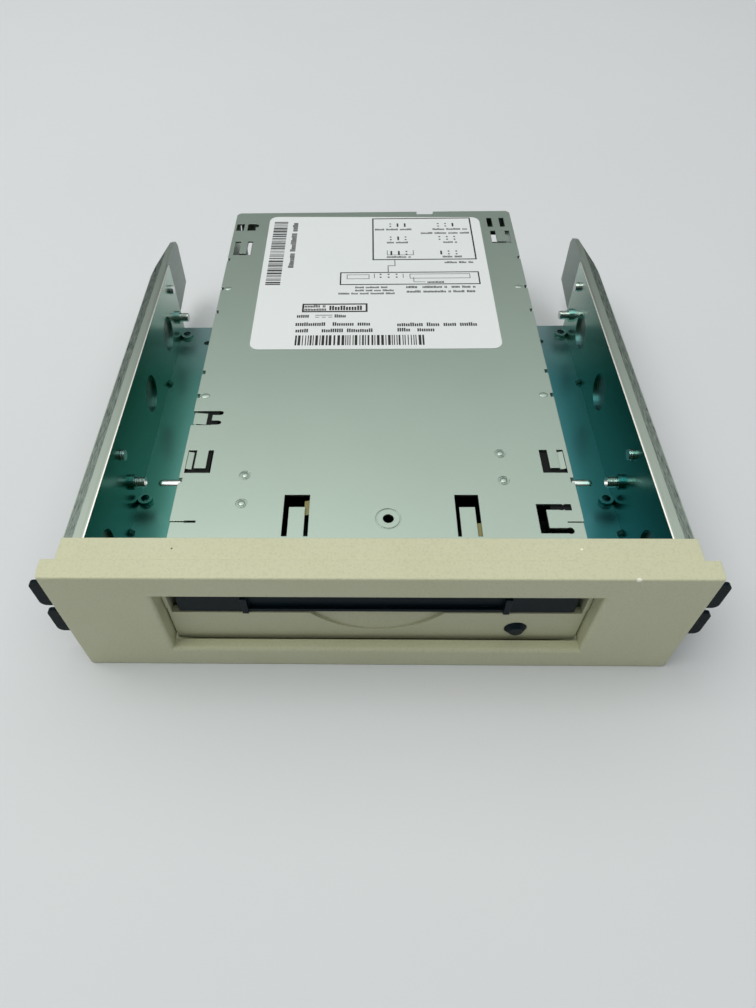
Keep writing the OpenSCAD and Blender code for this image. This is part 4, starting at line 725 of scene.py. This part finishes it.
# %% [markdown]
# The cover carries four small rivets' domes in their rings and, beside the edge notches, four
# shallow oval bumps that space it off the guides. Each is a crown turned in rings of points and
# set on the sheet, sunk a little so that no gap shows at its rim.

# %% Domes and bumps of the cover
RING_POINTS, CROWN_RINGS = 20, 4
CROWN_SINK = 0.02
DOMES = ((-33.7, 37.3), (-33.6, 28.0), (33.1, 44.8), (32.9, 35.5))
DOME_R, DOME_RISE = 0.95, 0.3
OVALS = ((-48.4, 119.2), (-48.4, 67.2), (48.0, 119.2), (48.0, 67.2))
OVAL_RX, OVAL_RY, OVAL_RISE = 1.3, 1.0, 0.22
crown_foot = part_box("drive_cover")[1].z / MM - CROWN_SINK


def add_crown(shape, x, y, radius_x, radius_y, rise):
    """A shallow crown on the cover, from its rim up to its middle."""
    rings = []
    for step in range(CROWN_RINGS):
        slope = math.pi / 2 * step / CROWN_RINGS
        spread, height = math.cos(slope), crown_foot + rise * math.sin(slope)
        turns = [2 * math.pi * i / RING_POINTS for i in range(RING_POINTS)]
        rings.append([shape.verts.new(to_frame(x + radius_x * spread * math.cos(angle),
                                               y + radius_y * spread * math.sin(angle), height))
                      for angle in turns])
    top = shape.verts.new(to_frame(x, y, crown_foot + rise))
    shape.faces.new(rings[0][::-1])
    for low, high in zip(rings, rings[1:]):
        join_rings(shape, low, high)
    for i in range(RING_POINTS):
        shape.faces.new((rings[-1][i], rings[-1][(i + 1) % RING_POINTS], top))


bumps = bmesh.new()
for x, y in DOMES:
    add_crown(bumps, x, y, DOME_R, DOME_R, DOME_RISE)
for x, y in OVALS:
    add_crown(bumps, x, y, OVAL_RX, OVAL_RY, OVAL_RISE)
bumps_piece = add_piece("cover_bumps", bumps, "housing", FINISH["cover_zinc"])
for face in bumps_piece.data.polygons:
    face.use_smooth = True

# %% [markdown]
# Three thin sprung tongues show in the cover's side slots, slanted down from the outer edge of
# the slot. Each is the cover's own sheet cut free and bent, so it wears the cover's finish, and a
# section of four corners carried along the slot gives its shape.

# %% Tongues in the cover's slots
TONGUE_OUTER_Z, TONGUE_INNER_Z, TONGUE_T = 32.3, 31.95, 0.07
TONGUES = ((-49.7, -48.2, 39.6, 45.6), (49.55, 48.1, 39.6, 45.6), (-50.3, -46.7, 56.1, 60.4))

tongues = bmesh.new()
for outer, inner, y0, y1 in TONGUES:
    corners = ((outer, TONGUE_OUTER_Z), (inner, TONGUE_INNER_Z),
               (inner, TONGUE_INNER_Z - TONGUE_T), (outer, TONGUE_OUTER_Z - TONGUE_T))
    close_shape(tongues, *([tongues.verts.new(to_frame(x, y, z)) for x, z in corners]
                           for y in (y0, y1)))
add_piece("cover_tongues", tongues, "housing", FINISH["cover_zinc"])

# %% [markdown]
# Through the notch in the cover's rear edge shade shows, and a dark block stands in for it as
# painted shade. It is a low block with a smaller step on top, on the inside of the rear flange.

# %% Dark block for the shade behind the rear notch
SHADE_BLOCK_X, SHADE_BLOCK_Y, SHADE_BLOCK_Z = (16.6, 22.3), (164.8, 166.4), (30.2, 31.0)
SHADE_STEP_X, SHADE_STEP_Y, SHADE_STEP_Z = (16.9, 22.0), (165.0, 166.2), (31.0, 31.3)

# Painted shade: a black block put where the notch shows only shade.
shade_block = bmesh.new()
for (x0, x1), (y0, y1), (low, high) in ((SHADE_BLOCK_X, SHADE_BLOCK_Y, SHADE_BLOCK_Z), (SHADE_STEP_X, SHADE_STEP_Y, SHADE_STEP_Z)):
    add_prism(shade_block, [(x0, y0), (x1, y0), (x1, y1), (x0, y1)], low, high)
add_piece("notch_shade_block", shade_block, "housing", FINISH["black_nylon"])

# %% [markdown]
# Two strips of amber polyimide tape are stuck under the cover, where the slots beside the middle
# leave a gap. Through the gaps they show as a small glint of yellow. They are drawn as thin
# sheets just under the cover, cut a little askew.

# %% Tape under the cover
COVER_UNDER, TAPE_GAP, TAPE_T, TAPE_SKEW = 31.8, 0.01, 0.08, 0.3
TAPES = ((-17.7, -16.2, 24.6, 29.4), (24.5, 26.1, 17.6, 22.4))

tape = bmesh.new()
for x0, x1, y0, y1 in TAPES:
    add_prism(tape, [(x0, y0), (x1, y0 + TAPE_SKEW), (x1, y1), (x0, y1 - TAPE_SKEW)],
              COVER_UNDER - TAPE_T, COVER_UNDER - TAPE_GAP)
FINISH["tape"] = make_finish(
    "polyimide_tape", "#77722A", "#666220", grain=0.8, depth=0.01, rough=(0.2, 0.3), patch=3,
    ior=1.7, edge=0.05)
add_piece("cover_tape", tape, "housing", FINISH["tape"])

# %% [markdown]
# The floor is a plain pale sheet, large enough to fill the view and to mirror in the zinc. It is
# part of the stage and not of the drive.

# %% Floor
FLOOR_HALF = 3.0
floor_mesh = bpy.data.meshes.new("floor")
floor_shape = bmesh.new()
floor_corners = [floor_shape.verts.new((x * FLOOR_HALF, y * FLOOR_HALF, 0))
                 for x, y in ((-1, -1), (1, -1), (1, 1), (-1, 1))]
floor_shape.faces.new(floor_corners)
floor_shape.to_mesh(floor_mesh)
floor_shape.free()
floor = bpy.data.objects.new("floor", floor_mesh)
bpy.context.scene.collection.objects.link(floor)
floor_finish = make_finish(
    "pale_cloth_floor", "#D5D9DD", "#D9DDE0", grain=1.0, depth=0.03, rough=(0.8, 0.9), patch=120,
    edge=0.01)
floor_mesh.materials.append(floor_finish["material"])
print("floor in metres:", 2 * FLOOR_HALF)

# %% [markdown]
# Light comes from a wide soft panel overhead, a little behind the drive, and from a smaller one
# above its left side. In the photograph the top of the bezel is more than twice as bright as its
# front, and light from above gives that. A pale surround fills the rest.

# %% Lights and surround
WORLD_STRENGTH = 0.22
world = bpy.data.worlds.new("pale_surround")
bpy.context.scene.world = world
world.use_nodes = True
world.node_tree.nodes["Background"].inputs["Color"].default_value = linear("#EEF3F6")
world.node_tree.nodes["Background"].inputs["Strength"].default_value = WORLD_STRENGTH


def add_panel(name, place, aim, width, depth, power, colour):
    """A soft light of that size in metres, turned to shine from place to aim."""
    data = bpy.data.lights.new(name, "AREA")
    data.shape = "RECTANGLE"
    data.size, data.size_y = width, depth
    data.energy = power
    data.color = linear(colour)[:3]
    lamp = bpy.data.objects.new(name, data)
    lamp.location = place
    lamp.rotation_euler = (Vector(aim) - Vector(place)).to_track_quat("-Z", "Y").to_euler()
    bpy.context.scene.collection.objects.link(lamp)


add_panel("overhead_panel", place=(-0.3, 0.45, 1.4), aim=(-0.3, 0.45, 0), width=3.0, depth=2.0,
          power=19.5, colour="#FFFEFA")
add_panel("key_panel", place=(-0.5, -0.15, 1.2), aim=(-0.1, -0.1, 0), width=0.9, depth=0.9,
          power=6.5, colour="#FFFDF6")
bpy.context.scene.view_settings.view_transform = "Standard"
print("lights:", len(bpy.data.lights))
